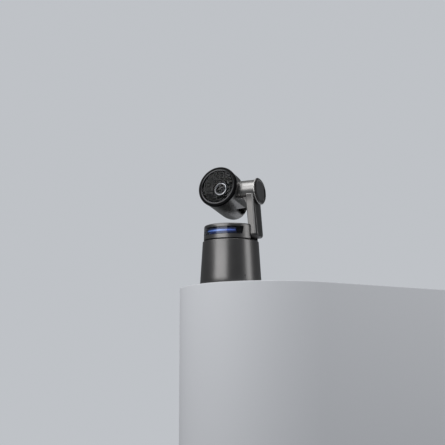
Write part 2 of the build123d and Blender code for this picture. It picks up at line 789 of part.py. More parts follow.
with BuildPart() as pan_magnet:
    tube(Plane.XY.offset(stator_low), magnet_out_r, magnet_in_r + seat_gap, stator_high)
pan_magnet.part.label = "pan_magnet"

with BuildPart() as pan_race_inner:
    tube(Plane.XY.offset(bearing_z), race_in_r + race_thick, race_in_r, bearing_high)
pan_race_inner.part.label = "pan_race_inner"

# Smoked window, following the turret's wall
with BuildPart() as light_window:
    low_z = turret_z + window_low
    high_z = turret_z + window_high
    turned([
        (turret_r(low_z) - window_recess, low_z), (turret_r(high_z) - window_recess, high_z),
        (turret_r(high_z) - window_recess - window_thick, high_z),
        (turret_r(low_z) - window_recess - window_thick, low_z),
    ])
    extrude(window_outline(piece_gap / 2), amount=turret_low_r + cut_past, mode=Mode.INTERSECT)
light_window.part.label = "light_window"


def arc_band(outer, thick, low, high, half_angle):
    """Band about the pan axis, centred on the front, added to the part that is being built."""
    start = Plane(origin=(0, 0, 0), x_dir=polar(1, -90 - half_angle), z_dir=polar(1, -half_angle))
    with BuildSketch(start) as band:
        with BuildLine():
            Polyline(
                (outer, -low), (outer, -high), (outer - thick, -high), (outer - thick, -low), close=True,
            )
        make_face()
    revolve(band.sketch, axis=Axis.Z, revolution_arc=2 * half_angle)


guide_out_r = turret_r(turret_z + window_high) - window_recess - window_thick - running_gap
guide_low = turret_z + guide_z - guide_high / 2
with BuildPart() as light_guide:
    arc_band(guide_out_r, guide_thick, guide_low, guide_low + guide_high, guide_angle)
light_guide.part.label = "light_guide"

board_out_r = guide_out_r - guide_thick - led_gap
with BuildPart() as light_board:
    led_low = turret_z + guide_z - led_board_high / 2
    arc_band(board_out_r, led_board_thick, led_low, led_low + led_board_high, guide_angle + led_board_extra)
    for step in range(led_count):
        led_angle = -90 - guide_angle + (step + 0.5) * 2 * guide_angle / led_count
        with BuildSketch(radial_plane(led_angle, turret_z + guide_z, board_out_r - led_sunk)) as led:
            Rectangle(led_wide, led_high)
        extrude(led.sketch, amount=led_gap)
light_board.part.label = "light_board"

# Rib behind the window that carries the light board
with BuildPart() as light_holder:
    holder_out_r = board_out_r - led_board_thick
    arc_band(
        holder_out_r, holder_thick, floor_top, turret_top - turret_deck, guide_angle - holder_short
    )
light_holder.part.label = "light_holder"

# ARM
# Frame: a leaning strip with a rounded toe, the barrel across its top and a foot tab in the turret
web_r = (web_wide ** 2 + web_high ** 2) / (2 * web_wide)
web_top_x = arm_x(tilt_z - barrel_r) - web_wide
web_low_x = arm_x(tilt_z - barrel_r - web_high)
with BuildPart() as arm_frame:
    with BuildSketch(arm_plane) as strip:
        Rectangle(2 * arm_half, arm_long, align=(Align.CENTER, Align.MAX))
    extrude(strip.sketch, amount=arm_skin)
    toes = arm_frame.edges().filter_by(across_arm).group_by(Axis.Z)[0]
    fillet(toes, radius=toe_round)
    fillet(arm_frame.faces().sort_by(Axis.X)[0].edges(), radius=edge_round)
    cap_back_plane = cap_plane.offset(-cap_back)
    with BuildSketch(tilt_plane.offset(barrel_start)) as barrel_face:
        Circle(barrel_r)
    extrude(barrel_face.sketch, amount=cap_x + cap_r - barrel_start)
    barrel_rim = arm_frame.edges().filter_by(GeomType.CIRCLE).sort_by(Axis.X)[0]
    fillet(barrel_rim, radius=barrel_round)
    with BuildSketch(tilt_plane.offset(groove_x)) as groove:
        Circle(barrel_r + cut_past)
        Circle(barrel_r - groove_deep, mode=Mode.SUBTRACT)
    extrude(groove.sketch, amount=groove_wide, mode=Mode.SUBTRACT)
    section_plane = Plane(origin=(0, 0, tilt_z), x_dir=(1, 0, 0), z_dir=(0, -1, 0))
    with BuildSketch(section_plane) as gusset_section:
        with BuildLine():
            Line((web_low_x + lap, -barrel_r + lap), (web_top_x, -barrel_r + lap))
            Line((web_top_x, -barrel_r + lap), (web_top_x, -barrel_r))
            RadiusArc((web_top_x, -barrel_r), (web_low_x, -barrel_r - web_high), web_r)
            Line((web_low_x, -barrel_r - web_high), (web_low_x + lap, -barrel_r - web_high))
            Line((web_low_x + lap, -barrel_r - web_high), (web_low_x + lap, -barrel_r + lap))
        make_face()
    extrude(gusset_section.sketch, amount=arm_half - edge_round, both=True)
    with BuildSketch(Plane.XY.offset(floor_top)) as tab:
        with Locations((tab_end + lap, 0)):
            Rectangle(tab_long + lap, 2 * tab_half, align=(Align.MAX, Align.CENTER))
    extrude(tab.sketch, amount=tab_thick)
    with BuildSketch(tilt_plane.offset(barrel_start + barrel_floor)) as barrel_bore:
        Circle(barrel_r - barrel_wall)
    extrude(barrel_bore.sketch, amount=cap_x + cap_r, mode=Mode.SUBTRACT)
    with BuildSketch(tilt_plane.offset(barrel_start - cut_past)) as neck_hole:
        Circle(barrel_hole_r)
    extrude(neck_hole.sketch, amount=barrel_floor + 2 * cut_past, mode=Mode.SUBTRACT)
    channel_low = floor_top + tab_thick + channel_low_gap - tilt_z
    channel_high = -barrel_r - channel_high_gap
    with BuildSketch(arm_plane.offset(channel_floor)) as channel:
        with Locations((0, (channel_low + channel_high) / 2)):
            RectangleRounded(2 * channel_half, channel_high - channel_low, channel_round)
    extrude(channel.sketch, amount=channel_deep, mode=Mode.SUBTRACT)
    with BuildSketch(cap_back_plane) as beyond_cap:
        Circle(2 * cap_x)
    extrude(beyond_cap.sketch, amount=2 * cap_x, mode=Mode.SUBTRACT)
    for x, y, z in tab_screw_spots:
        screw_seat(Plane(origin=(x, y, floor_top + tab_thick), z_dir=(0, 0, -1)), tab_thick + cut_past)
arm_frame.part.label = "arm_frame"

with BuildPart() as tab_screws:
    for x, y, z in tab_screw_spots:
        tab_top = Plane(origin=(x, y, floor_top + tab_thick), z_dir=(0, 0, -1))
        screw(tab_top, tab_thick + floor_thick - running_gap)
tab_screws.part.label = "tab_screws"

# Outer cover of the arm, crowned across and rounded along its outline
cover_back = arm_skin + cover_gap
crown_spot = arm_plane.offset(cover_back + cover_crown - arm_out_r).origin
crown_spot -= arm_plane.y_dir * (arm_long + cut_past)
with BuildPart() as arm_cover:
    with BuildSketch(arm_plane.offset(cover_back)) as cover_face:
        Rectangle(2 * arm_half, arm_long, align=(Align.CENTER, Align.MAX))
    extrude(cover_face.sketch, amount=cover_crown + cut_past)
    cover_toes = arm_cover.edges().filter_by(across_arm).group_by(Axis.Z)[0]
    fillet(cover_toes, radius=toe_round)
    with BuildSketch(Plane(origin=crown_spot, x_dir=(0, 1, 0), z_dir=arm_plane.y_dir)) as crown_face:
        Circle(arm_out_r)
    extrude(crown_face.sketch, amount=arm_long + 2 * cut_past, mode=Mode.INTERSECT)
    outer_face = arm_cover.faces().sort_by(across_arm)[-1]
    fillet(outer_face.edges().sort_by(Axis.Z)[:-1], radius=cover_round)
    with BuildSketch(tilt_plane) as barrel_room:
        Circle(barrel_r + cover_gap)
    extrude(barrel_room.sketch, amount=cap_x + cap_r, mode=Mode.SUBTRACT)
    with BuildSketch(cap_plane.offset(-cap_back - cover_gap)) as cap_room:
        Circle(3 * cap_r)
    extrude(cap_room.sketch, amount=3 * cap_r, mode=Mode.SUBTRACT)
arm_cover.part.label = "arm_cover"

# Leaning end cap: bright flange, bevelled rim, and a disc set in it
with BuildPart() as cap_flange:
    tube(cap_plane.offset(-cap_back), cap_r, 0, flange_high)
    fillet(cap_flange.edges().filter_by(GeomType.CIRCLE), radius=flange_edge)
cap_flange.part.label = "cap_flange"

cap_rim_plane = cap_plane.offset(-cap_back + flange_high)
with BuildPart() as cap_rim:
    tube(cap_rim_plane, cap_r - rim_step, disc_r + piece_gap, rim_high)
    cap_axis = Axis(cap_plane.origin, cap_plane.z_dir)
    rim_edges = cap_rim.edges().filter_by(GeomType.CIRCLE).group_by(cap_axis)[-1]
    chamfer(rim_edges.sort_by(SortBy.RADIUS)[-1], length=cap_bevel)
cap_rim.part.label = "cap_rim"

with BuildPart() as cap_disc:
    tube(cap_rim_plane, disc_r, 0, disc_thick)
cap_disc.part.label = "cap_disc"

# Tilt motor in the barrel
bore_r = barrel_r - barrel_wall
inner_bearing_x = barrel_start + barrel_floor
stator_x = inner_bearing_x + tilt_bearing_wide + tilt_spacing
outer_bearing_x = stator_x + tilt_stator_long + tilt_spacing
tilt_in_r = tilt_shaft_r + seat_gap
tilt_pitch_r = tilt_in_r + tilt_race + ball_gap + tilt_ball_r
tilt_out_r = tilt_pitch_r + tilt_ball_r + ball_gap + tilt_race
bearing_spots = (inner_bearing_x, outer_bearing_x)
tilt_magnet_r = tilt_in_r + tilt_magnet
with BuildPart() as tilt_stator:
    stator(
        tilt_plane.offset(stator_x), bore_r - seat_gap, tilt_magnet_r + air_gap, tilt_stator_long,
        tilt_teeth, tilt_tooth_wide, tilt_yoke,
    )
tilt_stator.part.label = "tilt_stator"

with BuildPart() as tilt_races_outer:
    for x in bearing_spots:
        tube(tilt_plane.offset(x), bore_r - seat_gap, tilt_out_r - tilt_race, tilt_bearing_wide)
tilt_races_outer.part.label = "tilt_races_outer"

with BuildPart() as tilt_balls:
    for x in bearing_spots:
        with Locations(tilt_plane.offset(x + tilt_bearing_wide / 2)):
            with PolarLocations(tilt_pitch_r, tilt_ball_count):
                Sphere(tilt_ball_r)
tilt_balls.part.label = "tilt_balls"

# HEAD
shaft_end = outer_bearing_x + tilt_bearing_wide
with BuildPart() as tilt_shaft:
    shaft_start = neck_end - tilt_shaft_root
    tilt_turned([
        (shaft_start, tilt_bore_r), (shaft_end, tilt_bore_r), (shaft_end, tilt_shaft_r),
        (shaft_start, tilt_shaft_r),
    ])
tilt_shaft.part.label = "tilt_shaft"

with BuildPart() as tilt_magnet_ring:
    tube(tilt_plane.offset(stator_x), tilt_magnet_r, tilt_in_r, tilt_stator_long)
tilt_magnet_ring.part.label = "tilt_magnet_ring"

with BuildPart() as tilt_races_inner:
    for x in bearing_spots:
        tube(tilt_plane.offset(x), tilt_in_r + tilt_race, tilt_in_r, tilt_bearing_wide)
tilt_races_inner.part.label = "tilt_races_inner"


def rear_plane(inset=0.0):
    """The slanted rear of the head, facing backwards, drawn in along its own normal."""
    back = Vector(*optical) * -cos(slant) + Vector(head_plane.y_dir) * sin(slant)
    start = head_plane.origin - Vector(*optical) * rear_offset - back * inset
    return Plane(origin=start, x_dir=(1, 0, 0), z_dir=back)


rear_long_r = head_r / cos(slant)
rear_short_r = (cheek_x - head_x + head_r) / 2
rear_shift = (cheek_x - head_x - head_r) / 2    # the flat rear lies this much off the optical axis
hollow_r = head_r - head_wall
# Hollow of the housing, closed by the slanted rear and by the cheek
with BuildPart() as inside:
    with BuildSketch(head_plane.offset(-2 * head_r)) as inside_face:
        Circle(hollow_r)
    extrude(inside_face.sketch, amount=2 * head_r + ring_back)
    with BuildSketch(rear_plane(head_wall)) as behind_inside:
        Rectangle(8 * head_r, 8 * head_r)
    extrude(behind_inside.sketch, amount=4 * head_r, mode=Mode.SUBTRACT)
    fillet(inside.edges().filter_by(GeomType.ELLIPSE), radius=rear_round - head_wall)
    with BuildSketch(tilt_plane.offset(cheek_x - head_wall)) as inside_cheek:
        Rectangle(8 * head_r, 8 * head_r)
    extrude(inside_cheek.sketch, amount=2 * head_r, mode=Mode.SUBTRACT)
    tube(head_plane.offset(ring_back - shoulder_deep + head_wall), hollow_r, 0, shoulder_deep - head_wall)

# Housing: a cylinder on the optical axis with a slanted rear, a flat cheek, a neck and a vent
with BuildPart() as head_housing:
    tube(head_plane.offset(-2 * head_r), head_r, 0, 2 * head_r + ring_back - piece_gap)
    with BuildSketch(rear_plane()) as behind:
        Rectangle(8 * head_r, 8 * head_r)
    extrude(behind.sketch, amount=4 * head_r, mode=Mode.SUBTRACT)
    rear_edge = head_housing.edges().filter_by(GeomType.ELLIPSE)
    fillet(rear_edge, radius=rear_round)
    with BuildSketch(tilt_plane.offset(cheek_x)) as cheek:
        Rectangle(8 * head_r, 8 * head_r)
    extrude(cheek.sketch, amount=2 * head_r, mode=Mode.SUBTRACT)
    tube(head_plane.offset(ring_back - shoulder_deep), head_r, 0, shoulder_deep - piece_gap)
    with BuildSketch(tilt_plane.offset(head_x)) as neck:
        Circle(neck_r)
    extrude(neck.sketch, amount=neck_end - head_x)
    with BuildSketch(tilt_plane.offset(collar_start)) as collar_room:
        Circle(collar_r + piece_gap)
        Circle(neck_r, mode=Mode.SUBTRACT)
    extrude(collar_room.sketch, amount=head_r, mode=Mode.SUBTRACT)
    add(inside.part, mode=Mode.SUBTRACT)
    with BuildSketch(tilt_plane.offset(head_x)) as shaft_hole:
        Circle(tilt_shaft_r + seat_gap)
    extrude(shaft_hole.sketch, amount=2 * head_r, mode=Mode.SUBTRACT)
    with BuildSketch(rear_plane(-rear_round)) as rear_mouth:
        with Locations((rear_shift, 0)):
            Ellipse(rear_short_r - rear_frame - rear_ledge, rear_long_r - rear_frame - rear_ledge)
    extrude(rear_mouth.sketch, amount=-rear_round - 2 * head_wall, mode=Mode.SUBTRACT)
    with BuildSketch(rear_plane(-rear_round)) as rear_rebate:
        with Locations((rear_shift, 0)):
            Ellipse(rear_short_r - rear_frame, rear_long_r - rear_frame)
    extrude(rear_rebate.sketch, amount=-rear_round - cover_thick / 2, mode=Mode.SUBTRACT)
    ahead = Vector(*optical)
    vent_centre = head_plane.origin + ahead * vent_u + head_plane.y_dir * vent_w
    vent_dir = head_plane.y_dir * sin(radians(vent_rise)) - ahead * cos(radians(vent_rise))
    vent_plane = Plane(origin=(vent_x, vent_centre.Y, vent_centre.Z), x_dir=vent_dir, z_dir=(1, 0, 0))
    with BuildSketch(vent_plane) as vent:
        SlotOverall(vent_long, vent_wide)
    extrude(vent.sketch, amount=head_r, mode=Mode.SUBTRACT)
head_housing.part.label = "head_housing"

# Rear cover, set in the slanted opening, with a row of slots
cover_short_r = rear_short_r - rear_frame - piece_gap
cover_long_r = rear_long_r - rear_frame - piece_gap
with BuildPart() as rear_cover:
    with BuildSketch(rear_plane(cover_thick / 2)) as cover_plate:
        with Locations((rear_shift, 0)):
            Ellipse(cover_short_r, cover_long_r)
    extrude(cover_plate.sketch, amount=cover_thick / 2)
    with BuildSketch(rear_plane(head_wall + plug_extra)) as cover_plug:
        with Locations((rear_shift, 0)):
            Ellipse(cover_short_r - rear_ledge, cover_long_r - rear_ledge)
    extrude(cover_plug.sketch, amount=head_wall + plug_extra - cover_thick / 2)
    with BuildSketch(rear_plane(-cut_past)) as cover_slots:
        with Locations((rear_shift, 0)):
            with GridLocations(0, slot_pitch, 1, slot_count):
                SlotOverall(slot_long, slot_wide)
    extrude(cover_slots.sketch, amount=-head_wall - plug_extra - 2 * cut_past, mode=Mode.SUBTRACT)
rear_cover.part.label = "rear_cover"

# Collar around the neck
with BuildPart() as neck_collar:
    tube(tilt_plane.offset(collar_start), collar_r, neck_r + seat_gap, collar_wide)
neck_collar.part.label = "neck_collar"

# Black front ring with the ledge that the glass lies on
with BuildPart() as front_ring:
    ledge_r = glass_r - glass_ledge
    glass_back = ring_front - glass_recess - glass_thick
    head_turned([
        (ring_r, ring_back), (ring_r, ring_front), (glass_r + bevel_wide, ring_front),
        (glass_r + piece_gap / 2, ring_front - glass_recess), (glass_r + piece_gap / 2, glass_back),
        (ledge_r, glass_back), (ledge_r, ring_back - ring_tail),
        (hollow_r - seat_gap, ring_back - ring_tail), (hollow_r - seat_gap, ring_back),
    ])
    front_edges = front_ring.edges().filter_by(GeomType.CIRCLE).group_by(optical_axis)[-1]
    fillet(front_edges.sort_by(SortBy.RADIUS)[-1], radius=ring_round)
front_ring.part.label = "front_ring"

with BuildPart() as front_glass:
    tube(head_plane.offset(glass_back), glass_r, 0, glass_thick)
front_glass.part.label = "front_glass"

# Black dish behind the glass, funnelling down to the lens
with BuildPart() as lens_dish:
    dish_r = ledge_r - seat_gap
    head_turned([
        (dish_r, glass_back - dish_gap), (dish_hole_r, lens_front),
        (dish_hole_r, lens_front - dish_skin), (dish_r, glass_back - dish_gap - dish_skin),
    ])
lens_dish.part.label = "lens_dish"

# Fixed lens barrel
lens_back = lens_front - lens_barrel_long
with BuildPart() as lens_barrel:
    head_turned([
        (lens_barrel_r, lens_front), (trim_ring_r + seat_gap, lens_front),
        (trim_ring_r + seat_gap, lens_front - trim_thick), (lens_bore_r, lens_front - trim_thick),
        (lens_bore_r, lens_back), (lens_barrel_r, lens_back),
    ])
lens_barrel.part.label = "lens_barrel"

with BuildPart() as lens_trim_ring:
    head_turned([
        (trim_ring_r, lens_front - trim_thick), (trim_ring_r, lens_front + trim_proud),
        (trim_ring_r - trim_bevel, lens_front + trim_lip),
        (trim_inner_r, lens_front - trim_thick + trim_proud), (trim_inner_r, lens_front - trim_thick),
    ])
lens_trim_ring.part.label = "lens_trim_ring"

# Focus cell that slides in the barrel, with its two elements
cell_front = lens_front - trim_thick - cell_setback - focus_travel
cell_back = cell_front - cell_long
with BuildPart() as focus_cell:
    head_turned([
        (cell_r, cell_front), (cell_bore_r, cell_front), (cell_bore_r, cell_back + rear_seat),
        (rear_lens_r, cell_back + rear_seat), (rear_lens_r, cell_back), (cell_r, cell_back),
    ])
focus_cell.part.label = "focus_cell"

front_lens_r = cell_bore_r - seat_gap
with BuildPart() as front_lens:
    tube(head_plane.offset(cell_front - front_seat), front_lens_r, 0, front_seat + front_lens_bulge)
    dome_r = (front_lens_r ** 2 + front_lens_bulge ** 2) / (2 * front_lens_bulge)
    with Locations(head_plane.offset(cell_front + front_lens_bulge - dome_r)):
        Sphere(dome_r, mode=Mode.INTERSECT)
front_lens.part.label = "front_lens"

with BuildPart() as rear_lens:
    tube(head_plane.offset(cell_back + rear_lens_inset), rear_lens_r - seat_gap, 0, rear_lens_thick)
rear_lens.part.label = "rear_lens"

# Sensor behind the barrel, its board, and the frame that carries both
sensor_front = lens_back - sensor_gap
board_front = sensor_front - sensor_thick
with BuildPart() as image_sensor:
    with BuildSketch(head_plane.offset(board_front)) as sensor_face:
        Rectangle(sensor_wide, sensor_high)
    extrude(sensor_face.sketch, amount=sensor_thick)
image_sensor.part.label = "image_sensor"

with BuildPart() as sensor_board:
    with BuildSketch(head_plane.offset(board_front - sensor_board_thick)) as sensor_board_face:
        RectangleRounded(sensor_board_side, sensor_board_side, sensor_board_round)
    extrude(sensor_board_face.sketch, amount=sensor_board_thick)
sensor_board.part.label = "sensor_board"

frame_reach = sensor_board_side / 2 - frame_post_r - frame_post_edge
with BuildPart() as lens_frame:
    frame_back = lens_front - dish_skin - piece_gap - frame_thick
    with BuildSketch(head_plane.offset(frame_back)) as frame_face:
        Circle(hollow_r - seat_gap)
        Circle(lens_barrel_r + seat_gap, mode=Mode.SUBTRACT)
        with Locations((cheek_x - head_wall - seat_gap - head_x, 0)):
            Rectangle(2 * head_r, 3 * head_r, align=(Align.MIN, Align.CENTER), mode=Mode.SUBTRACT)
    extrude(frame_face.sketch, amount=frame_thick)
    with BuildSketch(head_plane.offset(board_front)) as frame_posts:
        with GridLocations(2 * frame_reach, 2 * frame_reach, 2, 2):
            Circle(frame_post_r)
    extrude(frame_posts.sketch, amount=frame_back - board_front)
lens_frame.part.label = "lens_frame"

parts = [
    base_shell, base_plate, foot_ring, tripod_bush, plate_screws, chassis, deck_screws, battery_pack,
    main_board, processor, heat_sink, usb_port, card_socket, power_button, button_switch, pan_motor_can,
    pan_stator, pan_coils, pan_race_outer, pan_balls, swivel_ring, turret_shell, turret_floor,
    floor_screws, pan_shaft, pan_magnet, pan_race_inner, light_window, light_guide, light_board,
    light_holder, arm_frame, tab_screws, arm_cover, cap_flange, cap_rim, cap_disc, tilt_stator,
    tilt_races_outer, tilt_balls, tilt_shaft, tilt_magnet_ring, tilt_races_inner, head_housing,
    rear_cover, neck_collar, front_ring, front_glass, lens_dish, lens_barrel, lens_trim_ring,
    focus_cell, front_lens, rear_lens, image_sensor, sensor_board, lens_frame,
]

os.makedirs("parts", exist_ok=True)
for piece in parts:
    export_step(piece.part, f"parts/{piece.part.label}.step")
print(len(parts), "sub-parts written")
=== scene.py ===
# %% [markdown]
# # A small desk camera that pans and tilts
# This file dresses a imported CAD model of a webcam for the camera. The CAD part is loaded as a
# fixed frame: each body can turn or slide, and each node already lies in its place. Everything
# below either gives a node a better finish or puts a finer piece over it that rides on the same
# body. All lengths are in metres, and the helper `mm` turns millimetres into metres.

import json
from math import cos, pi, radians, sin, sqrt, tan

import bmesh
import bpy
from mathutils import Matrix, Vector


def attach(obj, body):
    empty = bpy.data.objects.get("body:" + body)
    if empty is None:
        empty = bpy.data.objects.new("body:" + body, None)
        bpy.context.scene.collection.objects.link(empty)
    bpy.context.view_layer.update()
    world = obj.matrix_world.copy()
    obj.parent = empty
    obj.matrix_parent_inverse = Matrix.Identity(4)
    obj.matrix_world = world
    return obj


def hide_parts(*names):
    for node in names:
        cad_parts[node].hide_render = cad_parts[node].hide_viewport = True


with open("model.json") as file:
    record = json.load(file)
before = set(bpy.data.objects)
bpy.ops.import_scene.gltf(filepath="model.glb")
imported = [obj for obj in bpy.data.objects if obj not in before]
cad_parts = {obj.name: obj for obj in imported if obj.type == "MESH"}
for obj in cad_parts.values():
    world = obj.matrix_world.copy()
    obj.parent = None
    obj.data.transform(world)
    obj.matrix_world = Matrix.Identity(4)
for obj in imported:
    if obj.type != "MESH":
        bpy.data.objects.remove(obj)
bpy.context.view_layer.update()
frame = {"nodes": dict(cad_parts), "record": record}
nodes = frame["nodes"]


def mm(value):
    """Millimetres as metres."""
    return value * 0.001


# %% [markdown]
# ## The camera
# The photograph looks up at the product a little, from its own front left. A long lens keeps the
# drawing calm. The camera object is built first, because it says which side matters most. The view
# transform is Standard, so a colour shows about as it is written.

# %% Camera
PHOTO_PIXELS = 445
FOCAL_PIXELS = 1050.0
AZIMUTH = radians(26.7)
PITCH = radians(8.95)
SENSOR = 36.0
CAMERA_PLACE = (0.4952, -1.0044, -0.1079)

camera_data = bpy.data.cameras.new("studio_camera")
camera_data.type = "PERSP"
camera_data.sensor_width = SENSOR
camera_data.lens = FOCAL_PIXELS / PHOTO_PIXELS * SENSOR
camera_data.clip_start = 0.05
camera_data.clip_end = 20.0
camera = bpy.data.objects.new("studio_camera", camera_data)
camera.location = CAMERA_PLACE
camera.rotation_euler = (pi / 2 + PITCH, 0, AZIMUTH)
bpy.context.scene.collection.objects.link(camera)
bpy.context.scene.camera = camera
bpy.context.scene.view_settings.view_transform = "Standard"
print(f"lens {camera_data.lens:.1f} mm")

right = Vector((cos(AZIMUTH), sin(AZIMUTH), 0))
away = Vector((-sin(AZIMUTH), cos(AZIMUTH), 0))
up = Vector((0, 0, 1))


# %% [markdown]
# ## Arithmetic on sockets
# A material is a small program of nodes. Writing it as sums and products is shorter than linking
# boxes by hand, so `Wire` wraps one socket and answers to the usual operators. `Finish` holds one
# material, and its `node` method makes any other node: first the settings, then the sockets.

# %% Wire and Finish
class Wire:
    """One socket of a material. Arithmetic on it adds Math nodes."""

    def __init__(self, finish, socket):
        self.finish = finish
        self.socket = socket

    def math(self, operation, *values):
        sockets = dict(enumerate(values))
        return self.finish.node("ShaderNodeMath", {"operation": operation}, sockets)

    def __add__(self, other):
        return self.math("ADD", self, other)

    def __radd__(self, other):
        return self.math("ADD", other, self)

    def __sub__(self, other):
        return self.math("SUBTRACT", self, other)

    def __rsub__(self, other):
        return self.math("SUBTRACT", other, self)

    def __mul__(self, other):
        return self.math("MULTIPLY", self, other)

    def __rmul__(self, other):
        return self.math("MULTIPLY", other, self)

    def __truediv__(self, other):
        return self.math("DIVIDE", self, other)

    def apply(self, operation):
        """Math node of this value alone, such as SQRT or SINE."""
        return self.math(operation, self)

    def between(self, low, high):
        """0 below low, 1 above high, and a soft step between."""
        return self.finish.node(
            "ShaderNodeMapRange",
            {"interpolation_type": "SMOOTHSTEP", "clamp": True},
            {"Value": self, "From Min": low, "From Max": high},
        )


class Finish:
    """One material and the nodes in it."""

    def __init__(self, name):
        self.material = bpy.data.materials.new(name)
        self.material.use_nodes = True
        self.tree = self.material.node_tree
        self.tree.nodes.clear()
        self.place = self.node("ShaderNodeTexCoord", out="Object")

    def node(self, kind, settings=(), sockets=(), out=0):
        made = self.tree.nodes.new(kind)
        for key, value in dict(settings).items():
            if key == "stops":
                ramp = made.color_ramp.elements
                while len(ramp) < len(value):
                    ramp.new(0.5)
                for stop, (position, colour) in zip(ramp, value):
                    stop.position = position
                    stop.color = colour
            else:
                setattr(made, key, value)
        for key, value in dict(sockets).items():
            if isinstance(value, Wire):
                self.tree.links.new(value.socket, made.inputs[key])
            else:
                made.inputs[key].default_value = value
        return Wire(self, made.outputs[out]) if len(made.outputs) else None

    def vector(self, operation, out, *values):
        """Vector Math node."""
        sockets = dict(enumerate(values))
        return self.node("ShaderNodeVectorMath", {"operation": operation}, sockets, out=out)

    def noise(self, size, detail=2.0, rough=0.5, stretch=(1, 1, 1)):
        """Noise from 0 to 1 whose features are about size millimetres across."""
        mapped = self.node("ShaderNodeMapping", {}, {"Vector": self.place, "Scale": stretch})
        return self.node(
            "ShaderNodeTexNoise", {},
            {"Vector": mapped, "Scale": 1 / mm(size), "Detail": detail, "Roughness": rough},
        )

    def blend(self, factor, first, second):
        """Colour that goes from first to second as the factor goes from 0 to 1."""
        return self.node(
            "ShaderNodeMix", {"data_type": "RGBA"}, {0: factor, 6: first, 7: second}, out=2
        )

    def axis(self, name):
        """One coordinate of the place on the object, in metres."""
        return self.node("ShaderNodeSeparateXYZ", {}, {0: self.place}, out=name)

    def bump(self, height, depth):
        """Normal from a height of 0 to 1 that stands for depth millimetres."""
        return self.node(
            "ShaderNodeBump", {}, {"Height": height, "Distance": mm(depth), "Strength": 1.0}
        )

    def surface(self, **sockets):
        """Principled surface. Underscores in the names stand for spaces."""
        inputs = {key.replace("_", " "): value for key, value in sockets.items()}
        shader = self.node("ShaderNodeBsdfPrincipled", {}, inputs)
        self.node("ShaderNodeOutputMaterial", {}, {"Surface": shader})
        return self.material


def rgb(red, green, blue):
    return (red, green, blue, 1.0)


def scaled(tone, share):
    """Colour of a tone, made darker or lighter by a share."""
    return rgb(*(channel * share for channel in tone))


# %% [markdown]
# ## The dark metal
# Base, turret, arm and head share one look: an aluminium shell with a dark grey, slightly warm
# satin coat. Under a softbox it shows a soft streak, and close up a very fine grain. A low, wide
# noise moves the tone a little, a fine one moves the roughness, and the grain itself is bump.
# The head's copy has a higher tone, which is painted light: its underside looks lit from below.

# %% Satin metal
GRAIN_DEPTH = 0.004


def cloud_and_speckle(finish):
    """The low, wide noise and the very fine one of the satin coat."""
    return finish.noise(9.0, detail=3), finish.noise(0.16, detail=3, rough=0.7)


def satin_metal(name, tone, roughness):
    finish = Finish(name)
    cloud, speckle = cloud_and_speckle(finish)
    dark, light = scaled(tone, 0.86), scaled(tone, 1.14)
    return finish.surface(
        Base_Color=finish.blend(cloud * 0.6 + speckle * 0.4, dark, light),
        Metallic=0.92,
        Roughness=cloud * 0.05 + speckle * 0.07 + (roughness - 0.06),
        Coat_Weight=0.5,
        Coat_Roughness=0.22,
        Normal=finish.bump(speckle, GRAIN_DEPTH),
    )


shell_metal = satin_metal("shell_metal", (0.150, 0.147, 0.146), roughness=0.34)
# Painted light: the head's tone is raised above the shell's, so that its underside looks lit from
# below.
head_metal_painted_light = satin_metal("head_metal_painted_light", (0.270, 0.265, 0.262), roughness=0.28)
cover_metal = satin_metal("cover_metal", (0.100, 0.099, 0.100), roughness=0.36)
edge_metal = satin_metal("edge_metal", (0.62, 0.62, 0.63), roughness=0.26)
print("satin metals:", shell_metal.name, head_metal_painted_light.name, cover_metal.name, edge_metal.name)


# %% [markdown]
# ## Bright edges
# The turned rims and rings are bare metal. A lathe leaves circles around its axis, so the
# roughness follows the distance from that axis, and the reflection spreads into a short fan.

# %% Turned metal
def turned_metal(name, tone, centre, along, roughness=0.2, pitch=0.12):
    finish = Finish(name)
    offset = finish.vector("SUBTRACT", "Vector", finish.place, centre)
    lift = finish.vector("DOT_PRODUCT", "Value", offset, along)
    reach = finish.vector("LENGTH", "Value", offset)
    radius = (reach * reach - lift * lift).apply("SQRT")
    groove = ((radius + lift) * (2 * pi / mm(pitch))).apply("SINE")
    smudge = finish.noise(3.0, detail=3)
    shade = groove * 0.5 + 0.5
    return finish.surface(
        Base_Color=finish.blend(shade * 0.5 + smudge * 0.5, scaled(tone, 0.88), rgb(*tone)),
        Metallic=1.0,
        Roughness=shade * 0.05 + smudge * 0.08 + (roughness - 0.06),
        Normal=finish.bump(shade, 0.002),
    )


# %% The arm, brighter where its barrel is turned
TILT_Z, BARREL_R = 102.7, 10.0
SHADE_LOW, SHADE_HIGH = -17, -6
tilt_centre = (0, 0, mm(TILT_Z))
tilt_along = (1, 0, 0)


def arm_and_barrel():
    """Satin metal on the strip with painted shade under the barrel, and a brighter metal on the
    barrel.
    """
    finish = Finish("arm_metal")
    cloud, speckle = cloud_and_speckle(finish)
    rise = finish.axis("Z") - mm(TILT_Z)
    depth = finish.axis("Y")
    radius = (rise * rise + depth * depth).apply("SQRT")
    turned = radius.between(mm(BARREL_R + 0.5), mm(BARREL_R + 0.1))
    strip = finish.blend(cloud, rgb(0.135, 0.132, 0.131), rgb(0.165, 0.162, 0.160))
    # Painted shade: the strip's colour darkens towards the barrel, as if shaded by its overhang.
    painted_shade = rise.between(mm(SHADE_LOW), mm(SHADE_HIGH))
    strip = finish.blend(painted_shade, strip, rgb(0.045, 0.044, 0.044))
    barrel = finish.blend(cloud, rgb(0.34, 0.335, 0.33), rgb(0.38, 0.375, 0.37))
    return finish.surface(
        Base_Color=finish.blend(turned, strip, barrel),
        Metallic=0.95,
        Roughness=speckle * 0.07 + (0.30 + turned * 0.05),
        Normal=finish.bump(speckle, GRAIN_DEPTH),
    )


arm_metal = arm_and_barrel()

